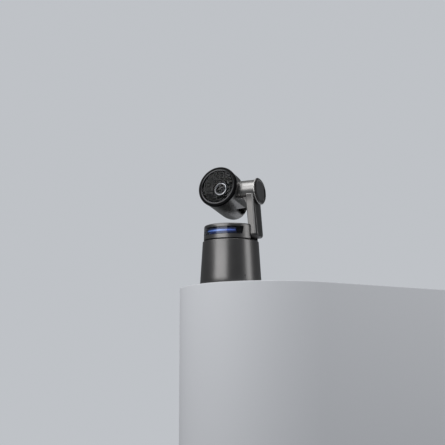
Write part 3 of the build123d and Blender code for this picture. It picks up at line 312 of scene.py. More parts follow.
# %% Turned rings
collar_metal = turned_metal("collar_metal", (0.46, 0.45, 0.44), tilt_centre, tilt_along)
CAP_LEAN = radians(5.0)
CAP_X, CAP_Z, CAP_BACK = 34.3, 99.9, -0.6
cap_centre = (mm(CAP_X), 0, mm(CAP_Z))
cap_along = (cos(CAP_LEAN), 0, sin(CAP_LEAN))
cap_metal = turned_metal("cap_metal", (0.78, 0.77, 0.76), cap_centre, cap_along, 0.28)
HEAD_TILT, HEAD_X = radians(10.6), -7.9
head_centre = (mm(HEAD_X), 0, mm(TILT_Z))
head_along = (0, -cos(HEAD_TILT), sin(HEAD_TILT))
trim_metal = turned_metal("trim_metal", (0.50, 0.51, 0.52), head_centre, head_along, 0.18)
bevel_metal = turned_metal("bevel_metal", (0.060, 0.061, 0.063), head_centre, head_along, 0.24)
steel = turned_metal("machined_steel", (0.52, 0.52, 0.53), (0, 0, 0), (0, 0, 1), 0.3, 0.2)


# %% [markdown]
# ## Blacks, plastics and rubber
# The front ring and the end disc are polished black plastic, where only the fine dust and the
# wiped patches of roughness tell a gloss from a hole. Inner mouldings have a spark-eroded texture:
# small blunt cells in the bump. Rubber is rougher and a little lighter at its high points.

# %% Polished black
def polished(name, tone, roughness, shine=0.25):
    finish = Finish(name)
    wipe = finish.noise(7.0, detail=4, stretch=(1, 1, 2.6))
    dust = finish.noise(0.35, detail=1).between(0.74, 0.82)
    return finish.surface(
        Base_Color=finish.blend(dust * 0.12, rgb(*tone), rgb(0.09, 0.09, 0.09)),
        Roughness=wipe * 0.06 + dust * 0.1 + roughness,
        Specular_IOR_Level=shine,
        Normal=finish.bump(wipe, 0.002),
    )


def moulded(name, tone, roughness, cell=0.35, depth=0.012, shine=0.35):
    finish = Finish(name)
    cells = finish.node(
        "ShaderNodeTexVoronoi", {"feature": "SMOOTH_F1"},
        {"Vector": finish.place, "Scale": 1 / mm(cell), "Smoothness": 0.6}, out="Distance",
    )
    cloud = finish.noise(5.0, detail=3)
    return finish.surface(
        Base_Color=finish.blend(cells * 0.5 + cloud * 0.5, scaled(tone, 0.8), rgb(*tone)),
        Roughness=cells * 0.12 + cloud * 0.06 + roughness,
        Specular_IOR_Level=shine,
        Normal=finish.bump(cells, depth),
    )


gloss_black = polished("gloss_black", (0.0030, 0.0030, 0.0034), 0.10, shine=0.05)
disc_black = polished("disc_black", (0.048, 0.048, 0.049), 0.30, shine=0.5)
matte_black = moulded("matte_black", (0.012, 0.012, 0.0125), 0.50)
dish_black = moulded(
    "dish_black", (0.004, 0.004, 0.0042), 0.42, cell=0.25, depth=0.006, shine=0.08
)
grey_plastic = moulded("grey_plastic", (0.17, 0.17, 0.18), 0.45)
rubber = moulded("soft_rubber", (0.022, 0.022, 0.023), 0.72, cell=0.6, depth=0.03)
chip_black = moulded("chip_black", (0.024, 0.024, 0.026), 0.42, cell=0.2)
screw_black = satin_metal("screw_black", (0.06, 0.06, 0.062), 0.4)


# %% [markdown]
# ## Inside finishes
# Boards, windings, magnets and the battery hardly show, but they are seen when a part is opened.
# A board is green mask with copper tracks under it, a winding is a stack of round wires, and the
# battery wrap is shrunk film with soft creases.

# %% Board, winding, magnet, battery
def circuit():
    finish = Finish("circuit")
    tracks = finish.node(
        "ShaderNodeTexBrick", {"offset": 0.37, "squash": 0.6},
        {"Vector": finish.place, "Scale": 1 / mm(7.0), "Mortar Size": 0.05, "Mortar Smooth": 0.2},
        out="Fac",
    )
    pads = finish.node(
        "ShaderNodeTexVoronoi", {}, {"Vector": finish.place, "Scale": 1 / mm(3.2)}, out="Distance"
    ).between(0.20, 0.16)
    mask = finish.blend(tracks, rgb(0.012, 0.085, 0.035), rgb(0.03, 0.15, 0.06))
    return finish.surface(
        Base_Color=finish.blend(pads, mask, rgb(0.62, 0.58, 0.42)),
        Metallic=pads * 0.9,
        Roughness=0.42 - pads * 0.15,
        Normal=finish.bump(tracks + pads, 0.02),
    )


def winding():
    finish = Finish("copper_winding")
    turns = finish.node(
        "ShaderNodeTexWave", {"bands_direction": "Z", "wave_profile": "SIN"},
        {"Vector": finish.place, "Scale": 1 / mm(3.6), "Distortion": 0.6, "Detail": 1.0},
        out="Fac",
    )
    return finish.surface(
        Base_Color=finish.blend(turns, rgb(0.20, 0.06, 0.02), rgb(0.75, 0.32, 0.14)),
        Metallic=0.9,
        Roughness=0.42 - turns * 0.14,
        Normal=finish.bump(turns, 0.05),
    )


def battery_wrap():
    finish = Finish("battery_wrap")
    crease = finish.noise(4.0, detail=4, stretch=(1, 1, 3))
    return finish.surface(
        Base_Color=finish.blend(crease, rgb(0.03, 0.05, 0.10), rgb(0.06, 0.09, 0.17)),
        Roughness=crease * 0.2 + 0.25,
        Normal=finish.bump(crease, 0.08),
    )


circuit_green = circuit()
copper = winding()
wrap = battery_wrap()
sink_metal = satin_metal("sink_metal", (0.42, 0.43, 0.45), 0.38)
magnet = satin_metal("plated_magnet", (0.36, 0.36, 0.38), 0.25)


# %% [markdown]
# ## Glass
# Three kinds of clear piece are needed: the smoked window, the clear front glass and the coated
# lenses. A smoked window is tinted all through, so its colour is the tint and it transmits fully.
# The violet and green that the lens coating throws back are painted reflection: a noise blends
# them into the dome's colour.

# %% Glass finishes
def clear(name, tint, roughness, index, painted_coat_reflection=None):
    finish = Finish(name)
    wipe = finish.noise(6.0, detail=3)
    # The second colour is painted reflection: the violet and green that a lens coating throws
    # back.
    other = rgb(*painted_coat_reflection) if painted_coat_reflection else scaled(tint, 0.94)
    return finish.surface(
        Base_Color=finish.blend(wipe, rgb(*tint), other),
        Roughness=wipe * 0.02 + roughness,
        Transmission_Weight=1.0,
        IOR=index,
    )


smoked = clear("smoked_window", (0.20, 0.21, 0.24), 0.02, 1.40)
front_clear = clear("front_glass", (0.93, 0.94, 0.95), 0.0, 1.15)
# The last colour is the painted reflection of the lens coating.
lens_clear = clear("lens_glass", (0.030, 0.036, 0.048), 0.0, 1.25, (0.040, 0.032, 0.046))


# %% [markdown]
# ## The light bar
# The bar glows blue, brightest in its middle, and fades to both ends. The colour runs along X
# through a ramp, and dies away above and below the bar. Emission adds light to the scene, so its
# strength stays low: the colour itself has to show and not clip.

# %% Light bar finishes
BAR_Z, GLOW_HALF = 56.6, 18


def glowing(name, stops, strength, half_high):
    """Lit plastic, with its colours along X and a soft end half_high above and below the bar."""
    finish = Finish(name)
    share = (finish.axis("X") + mm(GLOW_HALF)) / mm(2 * GLOW_HALF)
    along = finish.node("ShaderNodeValToRGB", {"stops": stops}, {0: share})
    height = (finish.axis("Z") - mm(BAR_Z)) / mm(half_high)
    fade = (height * height).between(1.0, 0.0)
    colour = finish.blend(fade, rgb(0.0, 0.0, 0.0), along)
    grain = finish.noise(0.5, detail=2)
    return finish.surface(
        Base_Color=finish.blend(grain, rgb(0.30, 0.34, 0.42), rgb(0.36, 0.40, 0.48)),
        Roughness=grain * 0.1 + 0.35,
        Emission_Color=colour,
        Emission_Strength=strength,
    )


bar_stops = [
    (0.02, rgb(0.02, 0.06, 0.16)), (0.25, rgb(0.10, 0.19, 0.52)), (0.50, rgb(0.40, 0.56, 1.0)),
    (0.74, rgb(0.12, 0.20, 0.56)), (0.97, rgb(0.04, 0.06, 0.20)),
]
bar_glow = glowing("light_bar", bar_stops, 4.0, 1.15)
film_stops = [
    (0.00, rgb(0.02, 0.03, 0.08)), (0.30, rgb(0.05, 0.07, 0.20)), (0.50, rgb(0.14, 0.20, 0.42)),
    (0.70, rgb(0.03, 0.05, 0.16)), (1.00, rgb(0.0, 0.0, 0.01)),
]
film_glow = glowing("lit_board", film_stops, 1.1, 4.6)


# %% [markdown]
# ## Finishes for the nodes that stay
# Many CAD nodes already have the right shape. Each gets its material by its slot, so nothing is
# left with the flat colour that model.glb brought.

# %% Dress the CAD nodes
by_slot = {
    "shell_metal": shell_metal, "arm_metal": arm_metal, "cover_metal": cover_metal,
    "rim_metal": cap_metal, "gloss_black": gloss_black, "matte_black": matte_black,
    "grey_plastic": grey_plastic, "rubber_black": rubber, "steel": steel,
    "screw_black": screw_black, "circuit": circuit_green, "chip_black": chip_black,
    "sink_metal": sink_metal, "winding": copper, "magnet": magnet, "battery_wrap": wrap,
    "smoked_window": smoked, "light_bar": bar_glow, "front_glass": front_clear,
    "lens_glass": lens_clear, "trim_metal": trim_metal, "sensor_die": disc_black,
}
slot_of = {row["node"]: row["material_slot"] for row in frame["record"]["subparts"]}
by_node = {
    "head_housing": head_metal_painted_light, "light_board": film_glow, "lens_dish": dish_black,
    "lens_barrel": dish_black, "rear_cover": dish_black,
}
for name, node in nodes.items():
    node.data.materials.clear()
    node.data.materials.append(by_node.get(name, by_slot[slot_of[name]]))
print("dressed", len(nodes), "nodes with", len(by_slot), "finishes")


# %% [markdown]
# ## Helpers that make shapes
# Nearly every visible piece is turned on some axis, so `lathe` spins a half section about Z with
# the spin operator, and `placed` moves the result to its own axis. `round_ring` bevels the circles
# that lie at a given radius and height. `carve` runs a boolean and hands back the result.

# %% Shape helpers
MERGE, CARVE_MERGE, RING_SLACK = 0.002, 0.004, 0.02
CREASE = radians(35)


def frame_at(centre, along, side):
    """Matrix that takes local Z to along and local X to side, at a centre in metres."""
    z = Vector(along).normalized()
    x = Vector(side).normalized()
    y = z.cross(x)
    return Matrix.Translation(Vector(centre)) @ Matrix((x, y, z)).transposed().to_4x4()


HEAD = frame_at(head_centre, head_along, (1, 0, 0))
TILT = frame_at(tilt_centre, tilt_along, (0, 1, 0))
CAP = frame_at(cap_centre, cap_along, (0, 1, 0))


def lathe(points, steps=144):
    """Solid turned about Z, from a closed half section of (radius, height) in millimetres."""
    form = bmesh.new()
    ring = [form.verts.new((mm(r), 0, mm(h))) for r, h in points]
    sides = [form.edges.new(pair) for pair in zip(ring, ring[1:] + ring[:1])]
    bmesh.ops.spin(
        form, geom=ring + sides, cent=(0, 0, 0), axis=(0, 0, 1), angle=2 * pi, steps=steps,
        use_merge=True,
    )
    bmesh.ops.remove_doubles(form, verts=form.verts, dist=mm(MERGE))
    bmesh.ops.dissolve_degenerate(form, edges=form.edges, dist=mm(0.001))
    bmesh.ops.recalc_face_normals(form, faces=form.faces)
    return form


def round_ring(form, radius, height, size, segments=4):
    """Rounds the circle of a lathed form at a radius and height, before the form is placed."""
    def on_ring(vert):
        off = sqrt(vert.co.x ** 2 + vert.co.y ** 2) - mm(radius)
        return max(abs(off), abs(vert.co.z - mm(height))) < mm(RING_SLACK)

    circle = [e for e in form.edges if on_ring(e.verts[0]) and on_ring(e.verts[1])]
    bmesh.ops.bevel(
        form, geom=circle, offset=mm(size), segments=segments, profile=0.5, affect="EDGES",
        material=-1, clamp_overlap=True,
    )


def as_object(form, name):
    mesh = bpy.data.meshes.new(name)
    form.to_mesh(mesh)
    form.free()
    piece = bpy.data.objects.new(name, mesh)
    bpy.context.scene.collection.objects.link(piece)
    return piece


def carve(form, cutter, operation="DIFFERENCE"):
    """Boolean of two forms. Both are used up, and the result is a new form."""
    body, tool = as_object(form, "body_blank"), as_object(cutter, "tool_blank")
    step = body.modifiers.new("carve", "BOOLEAN")
    step.operation, step.object, step.solver = operation, tool, "EXACT"
    bpy.context.view_layer.update()
    shaped = body.evaluated_get(bpy.context.evaluated_depsgraph_get())
    result = bmesh.new()
    result.from_mesh(shaped.to_mesh())
    shaped.to_mesh_clear()
    for spare in (body, tool):
        mesh = spare.data
        bpy.data.objects.remove(spare)
        bpy.data.meshes.remove(mesh)
    bmesh.ops.remove_doubles(result, verts=result.verts, dist=mm(CARVE_MERGE))
    return result


def placed(form, matrix):
    bmesh.ops.transform(form, matrix=matrix, verts=form.verts)
    return form


def keep(form, name, finishes, body, stands_for, bevel=0.0, edge_finish=-1):
    """Turns a form into a finished piece that rides on a body and stands for a CAD node."""
    piece = as_object(form, name)
    for finish in finishes:
        piece.data.materials.append(finish)
    if bevel:
        edge = piece.modifiers.new("fine_edge", "BEVEL")
        edge.width, edge.segments, edge.limit_method = mm(bevel), 2, "ANGLE"
        edge.angle_limit, edge.material = CREASE, edge_finish
    piece.data.shade_smooth()
    piece.data.set_sharp_from_angle(angle=CREASE)
    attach(piece, body)
    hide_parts(stands_for)
    print(f"{name}: {len(piece.data.polygons)} faces")


def pill(length, width, depth, matrix, steps=12):
    """Slot-shaped prism, centred on local X and Y, from local Z 0 to depth."""
    form = bmesh.new()
    bmesh.ops.create_cone(
        form, cap_ends=True, segments=4 * steps, radius1=mm(width / 2), radius2=mm(width / 2),
        depth=mm(depth),
    )
    bmesh.ops.translate(form, vec=(0, 0, mm(depth / 2)), verts=form.verts)
    for sign in (-1, 1):
        half = [v for v in form.verts if v.co.x * sign > mm(0.001)]
        bmesh.ops.translate(form, vec=(sign * mm((length - width) / 2), 0, 0), verts=half)
    return placed(form, matrix)


def block(low, high):
    """Box between two corners in millimetres."""
    form = bmesh.new()
    bmesh.ops.create_cube(form, size=1)
    size = [mm(b - a) for a, b in zip(low, high)]
    bmesh.ops.scale(form, vec=size, verts=form.verts)
    bmesh.ops.translate(form, vec=[mm((a + b) / 2) for a, b in zip(low, high)], verts=form.verts)
    return form


def radial(angle, height):
    """Frame on the pan axis that looks outwards at an angle, its own Y upwards."""
    a = radians(angle)
    return frame_at((0, 0, mm(height)), (cos(a), sin(a), 0), (-sin(a), cos(a), 0))


# %% [markdown]
# ## The base
# The base is a tapered can with a thin rounded rim. One lathe section makes its wall and its deck,
# and four cutters open it for the two sockets, the button and the tiny hole low on the front. Two
# extra rings close above and below the tiny hole keep its small faces in a narrow band.

# %% Base shell
FOOT_R, RIM_R, BASE_LOW, BASE_TOP, WALL, DECK = 33.0, 30.1, 0.8, 47.0, 2.0, 2.5
DECK_BORE, CUT_REACH = 11.14, 60
HOLE_Z, HOLE_BAND, BUTTON_Z, BUTTON_ANGLE = 8.3, 1.2, 28.55, 163
OPENINGS = [  # width, height, angle on the pan axis and height above the foot
    (9.7, 4.0, 90, 28.45),
    (12.2, 1.8, 197, 27.8),
    (7.2, 7.2, BUTTON_ANGLE, BUTTON_Z),
    (1.1, 1.1, -36.3, HOLE_Z),
]


def base_r(height):
    return FOOT_R + (RIM_R - FOOT_R) * (height - BASE_LOW) / (BASE_TOP - BASE_LOW)


base = lathe([
    (FOOT_R, BASE_LOW), (base_r(HOLE_Z - HOLE_BAND), HOLE_Z - HOLE_BAND),
    (base_r(HOLE_Z + HOLE_BAND), HOLE_Z + HOLE_BAND),
    (RIM_R, BASE_TOP), (DECK_BORE, BASE_TOP), (DECK_BORE, BASE_TOP - DECK),
    (base_r(BASE_TOP - DECK) - WALL, BASE_TOP - DECK), (base_r(BASE_LOW) - WALL, BASE_LOW),
], steps=180)
round_ring(base, RIM_R, BASE_TOP, 0.7, 5)
round_ring(base, FOOT_R, BASE_LOW, 0.4, 2)
for wide, high, angle, level in OPENINGS:
    base = carve(base, pill(wide, high, CUT_REACH, radial(angle, level)))
keep(base, "base_body", [shell_metal], "base", "base_shell")

# %% [markdown]
# ## The turret
# The turret is a shallow drum with a rounded top edge. Its front is cut through for the smoked
# window, whose ends slant, and its right side is slotted for the arm.

# %% Turret shell and window
TURRET_Z, TURRET_LOW_R, TURRET_TOP_R, TURRET_HIGH = 48.4, 29.05, 28.5, 15.7
TURRET_TOP, TURRET_WALL, TURRET_LID = TURRET_Z + TURRET_HIGH, 1.8, 2
ARM_IN, HALF_ARM, ARM_GAP = 20.8, 8.2, 0.5
SLOT_HALF = HALF_ARM + ARM_GAP


def arm_x(height):
    """X of the leaning arm's inner face at a height, in millimetres."""
    return ARM_IN + (TILT_Z - height) * tan(CAP_LEAN)


def turret_r(height):
    return TURRET_LOW_R + (TURRET_TOP_R - TURRET_LOW_R) * (height - TURRET_Z) / TURRET_HIGH


WINDOW_LOW, WINDOW_HIGH = TURRET_Z + 4.1, TURRET_Z + 12.4
WINDOW_RECESS, WINDOW_THICK, WINDOW_GAP, WINDOW_ROUND = 0.1, 1.3, 0.075, 0.8
HALF_LOW = turret_r(WINDOW_LOW) * sin(radians(51))
HALF_HIGH = turret_r(WINDOW_HIGH) * sin(radians(55))


def window_prism(inset):
    """Prism of the window's outline, reaching from the pan axis out to the front."""
    form = bmesh.new()
    low, high = WINDOW_LOW + inset, WINDOW_HIGH - inset
    outline = [
        (-HALF_LOW + inset, low), (HALF_LOW - inset, low), (HALF_HIGH - inset, high),
        (-HALF_HIGH + inset, high),
    ]
    corners = [form.verts.new((mm(x), 0, mm(z))) for x, z in outline]
    face = form.faces.new(corners)
    pushed = bmesh.ops.extrude_face_region(form, geom=[face])["geom"]
    moved = [g for g in pushed if isinstance(g, bmesh.types.BMVert)]
    bmesh.ops.translate(form, vec=(0, -mm(CUT_REACH), 0), verts=moved)
    long_edges = [e for e in form.edges if abs(e.verts[0].co.y - e.verts[1].co.y) > mm(10)]
    bmesh.ops.bevel(
        form, geom=long_edges, offset=mm(WINDOW_ROUND), segments=4, profile=0.5,
        affect="EDGES", material=-1,
    )
    bmesh.ops.recalc_face_normals(form, faces=form.faces)
    return form


LID_LOW = TURRET_TOP - TURRET_LID
turret = lathe([
    (TURRET_LOW_R, TURRET_Z), (TURRET_TOP_R, TURRET_TOP), (0, TURRET_TOP), (0, LID_LOW),
    (turret_r(LID_LOW) - TURRET_WALL, LID_LOW), (TURRET_LOW_R - TURRET_WALL, TURRET_Z),
], steps=180)
round_ring(turret, TURRET_TOP_R, TURRET_TOP, 1.6, 7)
turret = carve(turret, window_prism(0))
SLOT_IN, SLOT_OUT, SLOT_LOW, SLOT_HIGH = arm_x(TURRET_TOP) - ARM_GAP, 40, 40, 80
arm_slot = block((SLOT_IN, -SLOT_HALF, SLOT_LOW), (SLOT_OUT, SLOT_HALF, SLOT_HIGH))
turret = carve(turret, arm_slot)
keep(turret, "turret_body", [shell_metal], "turret", "turret_shell")

low_r, high_r = turret_r(WINDOW_LOW) - WINDOW_RECESS, turret_r(WINDOW_HIGH) - WINDOW_RECESS
window = lathe([
    (low_r, WINDOW_LOW), (high_r, WINDOW_HIGH),
    (high_r - WINDOW_THICK, WINDOW_HIGH), (low_r - WINDOW_THICK, WINDOW_LOW),
], steps=180)
window = carve(window, window_prism(WINDOW_GAP), "INTERSECT")
keep(window, "smoked_band", [smoked], "turret", "light_window")

# %% [markdown]
# ## The light behind the window
# A milky bar follows the inside of the smoked glass. It is a rounded strip spun about the pan axis
# through the angle that the bar covers, so that both of its ends are closed.

# %% Light bar
BAR_R, BAR_THICK, BAR_HIGH, BAR_HALF, BAR_ROUND = 26.92, 1.4, 2.0, 37.0, 0.35


def arc_strip(outer, thick, low, high, half_angle):
    """Strip about the pan axis, centred on the front, from a section in millimetres."""
    form = bmesh.new()
    start = -pi / 2 - radians(half_angle)
    corners = [(outer, low), (outer, high), (outer - thick, high), (outer - thick, low)]
    ring = [form.verts.new((mm(r) * cos(start), mm(r) * sin(start), mm(h))) for r, h in corners]
    face = form.faces.new(ring)
    bmesh.ops.spin(
        form, geom=[face], cent=(0, 0, 0), axis=(0, 0, 1), angle=2 * radians(half_angle),
        steps=48, use_merge=False,
    )
    bmesh.ops.recalc_face_normals(form, faces=form.faces)
    return form


bar = arc_strip(BAR_R, BAR_THICK, BAR_Z - BAR_HIGH / 2, BAR_Z + BAR_HIGH / 2, BAR_HALF)
keep(bar, "light_bar", [bar_glow], "turret", "light_guide", bevel=BAR_ROUND)

# %% [markdown]
# ## The power button
# A turned cap with a rounded crown and a slightly dished face sits in the side wall of the base.
# It has a flange inside the wall and a stem that meets the switch, so one section makes all three.

# %% Power button
BUTTON_R, BUTTON_SEAT, BUTTON_END, STEM_R, FLANGE_R = 3.4, 28.36, 31.76, 1.2, 4.3
STEM_END, FLANGE_BACK = BUTTON_SEAT - 1.5, BUTTON_SEAT - 0.8
button = lathe([
    (0, STEM_END), (STEM_R, STEM_END), (STEM_R, FLANGE_BACK), (FLANGE_R, FLANGE_BACK),
    (FLANGE_R, BUTTON_SEAT), (BUTTON_R, BUTTON_SEAT), (BUTTON_R, BUTTON_END),
    (BUTTON_R - 0.5, BUTTON_END), (BUTTON_R - 1.4, BUTTON_END - 0.22), (0, BUTTON_END - 0.3),
], steps=72)
round_ring(button, BUTTON_R, BUTTON_END, 0.3, 4)
placed(button, radial(BUTTON_ANGLE, BUTTON_Z))
keep(button, "button_cap", [cap_metal], "button", "power_button")

# %% [markdown]
# ## The arm's cover
# The cover is a crowned strip over the arm's cable channel, and it leans with the arm. It is built
# in the arm's own frame: a block whose toes are rounded, cut to its crown by a large drum, its
# outline rounded, and then cut free of the barrel and the cap.

# %% Arm cover
ARM_LOW, COVER_BACK, COVER_CROWN, CROWN_R, COVER_ROUND = 48.6, 6.9, 3.7, 33.8, 2.0
TOE_ROUND, COVER_BLANK, BARREL_ROOM, CAP_ROOM, BEYOND = 5.2, 6, 0.1, 0.1, 40
ARM_LONG = (TILT_Z - ARM_LOW) / cos(CAP_LEAN)
ARM = frame_at((mm(ARM_IN), 0, mm(TILT_Z)), cap_along, (0, 1, 0))


def drum(radius, low, high, matrix, steps=144):
    """Closed cylinder about the Z of a frame, between two heights in millimetres."""
    return placed(lathe([(0, low), (radius, low), (radius, high), (0, high)], steps), matrix)


cover = block((-HALF_ARM, -ARM_LONG, COVER_BACK), (HALF_ARM, 0, COVER_BACK + COVER_BLANK))
toes = [e for e in cover.edges if max(v.co.y for v in e.verts) < mm(1 - ARM_LONG)
        and abs(e.verts[0].co.z - e.verts[1].co.z) > mm(1)]
bmesh.ops.bevel(
    cover, geom=toes, offset=mm(TOE_ROUND), segments=10, profile=0.5, affect="EDGES", material=-1
)
crown_spot = (0, -mm(ARM_LONG + 1), mm(COVER_BACK + COVER_CROWN - CROWN_R))
crown = drum(CROWN_R, 0, ARM_LONG + 2, frame_at(crown_spot, (0, 1, 0), (1, 0, 0)), steps=300)
cover = carve(cover, crown, "INTERSECT")
bmesh.ops.dissolve_limit(cover, angle_limit=radians(0.2), verts=cover.verts, edges=cover.edges)
outline = [
    e for e in cover.edges
    if len(e.link_faces) == 2 and e.calc_face_angle() > radians(50)
    and min(v.co.z for v in e.verts) > mm(COVER_BACK + 0.5)
    and min(v.co.y for v in e.verts) < -mm(1)
]
bmesh.ops.bevel(
    cover, geom=outline, offset=mm(COVER_ROUND), segments=6, profile=0.5, affect="EDGES",
    material=-1,
)
placed(cover, ARM)
cover = carve(cover, drum(BARREL_R + BARREL_ROOM, 0, CUT_REACH, TILT))
cover = carve(cover, drum(BEYOND, CAP_BACK - CAP_ROOM, BEYOND, CAP))
keep(cover, "arm_cover_plate", [cover_metal], "turret", "arm_cover")

# %% [markdown]
# ## The end cap
# Three turned pieces close the barrel on its leaning axis: a bright flange, a bevelled rim and a
# dark disc that lies a little lower. Each is a lathe section in the cap's own frame.

# %% End cap
CAP_R, FLANGE_TOP, RIM_TOP, RIM_FOOT_R, RIM_EDGE_R, RIM_IN_R = 14.6, 0.2, 1.5, 14.1, 13.1, 10.75
DISC_R, DISC_TOP = 10.6, 0.9
flange = lathe([(0, CAP_BACK), (CAP_R, CAP_BACK), (CAP_R, FLANGE_TOP), (0, FLANGE_TOP)])
round_ring(flange, CAP_R, FLANGE_TOP, 0.35, 4)
round_ring(flange, CAP_R, CAP_BACK, 0.35, 4)
keep(placed(flange, CAP), "cap_edge", [cap_metal], "turret", "cap_flange")

rim = lathe([
    (RIM_FOOT_R, FLANGE_TOP), (RIM_FOOT_R, FLANGE_TOP + 0.35), (RIM_EDGE_R, RIM_TOP),
    (RIM_IN_R + 0.23, RIM_TOP), (RIM_IN_R, RIM_TOP - 0.25), (RIM_IN_R, FLANGE_TOP),
])
round_ring(rim, RIM_EDGE_R, RIM_TOP, 0.2, 3)
keep(placed(rim, CAP), "cap_bevel", [arm_metal], "turret", "cap_rim")

disc = lathe([
    (0, FLANGE_TOP), (DISC_R, FLANGE_TOP), (DISC_R, DISC_TOP), (DISC_R - 0.2, DISC_TOP + 0.1),
    (DISC_R - 0.6, DISC_TOP + 0.07), (0, DISC_TOP),
])
keep(placed(disc, CAP), "cap_face", [disc_black], "turret", "cap_disc")

# %% [markdown]
# ## The head's housing
# The housing keeps its CAD shape. The copy of its mesh is merged, its flat faces are joined, and a
# fine bright bevel follows its sharp edges, also those of the vent in its lower flank.

# %% Head housing
FLAT, HOUSING_EDGE = radians(0.5), 0.35
cad_housing = nodes["head_housing"]
housing = bmesh.new()
housing.from_mesh(cad_housing.data)
placed(housing, cad_housing.matrix_world)
bmesh.ops.remove_doubles(housing, verts=housing.verts, dist=mm(MERGE))
bmesh.ops.dissolve_limit(
    housing, angle_limit=FLAT, verts=housing.verts, edges=housing.edges, delimit={"SHARP"}
)
keep(
    housing, "head_body", [head_metal_painted_light, edge_metal], "head", "head_housing",
    bevel=HOUSING_EDGE, edge_finish=1,
)

# %% [markdown]
# ## The neck ring
# A turned ring sits on the neck between head and barrel. Its chamfers catch the light as two thin
# bright lines.

# %% Neck ring
NECK_IN_R, NECK_OUT_R, NECK_LOW, NECK_HIGH, NECK_BEVEL = 9.42, 9.9, 13.1, 14.5, 0.25
neck_ring = lathe([
    (NECK_IN_R, NECK_LOW), (NECK_OUT_R - NECK_BEVEL, NECK_LOW),
    (NECK_OUT_R, NECK_LOW + NECK_BEVEL), (NECK_OUT_R, NECK_HIGH - NECK_BEVEL),
    (NECK_OUT_R - NECK_BEVEL, NECK_HIGH), (NECK_IN_R, NECK_HIGH),
])
keep(placed(neck_ring, TILT), "neck_ring", [collar_metal], "head", "neck_collar")

# %% [markdown]
# ## The front of the head
# The front ring has a large outer round and a dark inner bevel that runs down to the glass. The
# bevel's faces are found by their place on the ring, and get the second finish. The glass is a
# shallow dome. Behind it the dish and the lens barrel stay as the CAD has them.

# %% Front ring and glass
RING_R, RING_BACK, RING_FRONT, GLASS_R, GLASS_BACK = 22.5, 14.8, 17.4, 18.4, 15.8
HOLLOW_R, LEDGE_R, LEDGE_BACK, GLASS_GAP = 20.38, 17.7, 13.3, 0.075
BEVEL_R, RING_ROUND = GLASS_R + 1.2, 1.3
front_ring = lathe([
    (RING_R, RING_BACK), (RING_R, RING_FRONT), (BEVEL_R, RING_FRONT),
    (GLASS_R + 0.16, RING_FRONT - 0.28), (GLASS_R + GLASS_GAP, RING_FRONT - 0.6),
    (GLASS_R + GLASS_GAP, GLASS_BACK), (LEDGE_R, GLASS_BACK),
    (LEDGE_R, LEDGE_BACK), (HOLLOW_R, LEDGE_BACK), (HOLLOW_R, RING_BACK),
])
round_ring(front_ring, RING_R, RING_FRONT, RING_ROUND, 8)
round_ring(front_ring, BEVEL_R, RING_FRONT, 0.25, 3)
for face in front_ring.faces:
    middle = face.calc_center_median()
    reach = sqrt(middle.x ** 2 + middle.y ** 2)
    if reach < mm(BEVEL_R) and mm(RING_FRONT - 0.5) < middle.z < mm(RING_FRONT - 0.04):
        face.material_index = 1
keep(
    placed(front_ring, HEAD), "black_ring", [gloss_black, bevel_metal], "head",
    "front_ring",
)

DOME_STEPS = 12


def dome(radius, edge, bulge):
    """Half section of a dome, from its edge in to its crown, in millimetres."""
    turns = [n * pi / 2 / DOME_STEPS for n in range(DOME_STEPS)]
    return [(radius * cos(a), edge + bulge * sin(a)) for a in turns] + [(0, edge + bulge)]


GLASS_EDGE, GLASS_BULGE = 16.35, 0.42
glass = lathe([(0, GLASS_BACK), (GLASS_R, GLASS_BACK)] + dome(GLASS_R, GLASS_EDGE, GLASS_BULGE))
keep(placed(glass, HEAD), "front_window", [front_clear], "head", "front_glass")

# %% [markdown]
# ## The lens
# The trim ring is a turned cone with a rounded lip, and the front element is a dome that stands a
# little in front of its cell. Both are turned on the optical axis.

# %% Trim ring and front element
TRIM_BACK, TRIM_FRONT, TRIM_R, TRIM_LIP_R, TRIM_IN_R = 8.6, 9.65, 6.9, 6.3, 5.6
trim = lathe([
    (TRIM_R, TRIM_BACK), (TRIM_R, TRIM_FRONT - 0.25), (TRIM_LIP_R, TRIM_FRONT),
    (TRIM_IN_R + 0.3, TRIM_FRONT - 0.35), (TRIM_IN_R, TRIM_FRONT - 0.85), (TRIM_IN_R, TRIM_BACK),
])
round_ring(trim, TRIM_LIP_R, TRIM_FRONT, 0.15, 4)
keep(placed(trim, HEAD), "lens_trim", [trim_metal], "head", "lens_trim_ring")

LENS_R, LENS_BACK, LENS_EDGE, LENS_BULGE = 4.58, 4.4, 7.0, 1.1
element = lathe([(0, LENS_BACK), (LENS_R, LENS_BACK)] + dome(LENS_R, LENS_EDGE, LENS_BULGE))
keep(placed(element, HEAD), "lens_element", [lens_clear], "focus", "front_lens")

# %% [markdown]
# ## Stage and light
# The product stands on a long pale plinth with a round end, as in the photograph. The backdrop is
# the world: pale where the camera or a glass looks at it, dim in a reflection and softer as light.
# One large softbox hangs high on the left with its lower edge aslant, which draws the slanted veil
# on the front glass and the bright band along the barrel. A low wide one on the left and an
# upright one on the right draw the two streaks on the base, and one high behind lights the top
# edges.

# %% Stage
PLINTH_END_R, PLINTH_LONG, PLINTH_DEEP = 100.0, 1100.0, 320.0
PLINTH_TURN, PLINTH_ROUND = radians(32), 1.2
PLINTH_RIGHT, PLINTH_AWAY = 44, 40


def plinth_bar():
    """Long block with a round end near the product, its top at height 0."""
    run = right * cos(PLINTH_TURN) + away * sin(PLINTH_TURN)
    end = right * mm(PLINTH_RIGHT) + away * mm(PLINTH_AWAY)
    middle = end + run * mm(PLINTH_LONG / 2 - PLINTH_END_R)
    spot = frame_at(middle, (0, 0, -1), run)
    form = pill(PLINTH_LONG, 2 * PLINTH_END_R, PLINTH_DEEP, spot, 32)
    rim = [e for e in form.edges if min(v.co.z for v in e.verts) > -mm(0.01)]
    bmesh.ops.bevel(
        form, geom=rim, offset=mm(PLINTH_ROUND), segments=3, profile=0.5, affect="EDGES",
        material=-1,
    )
    return form


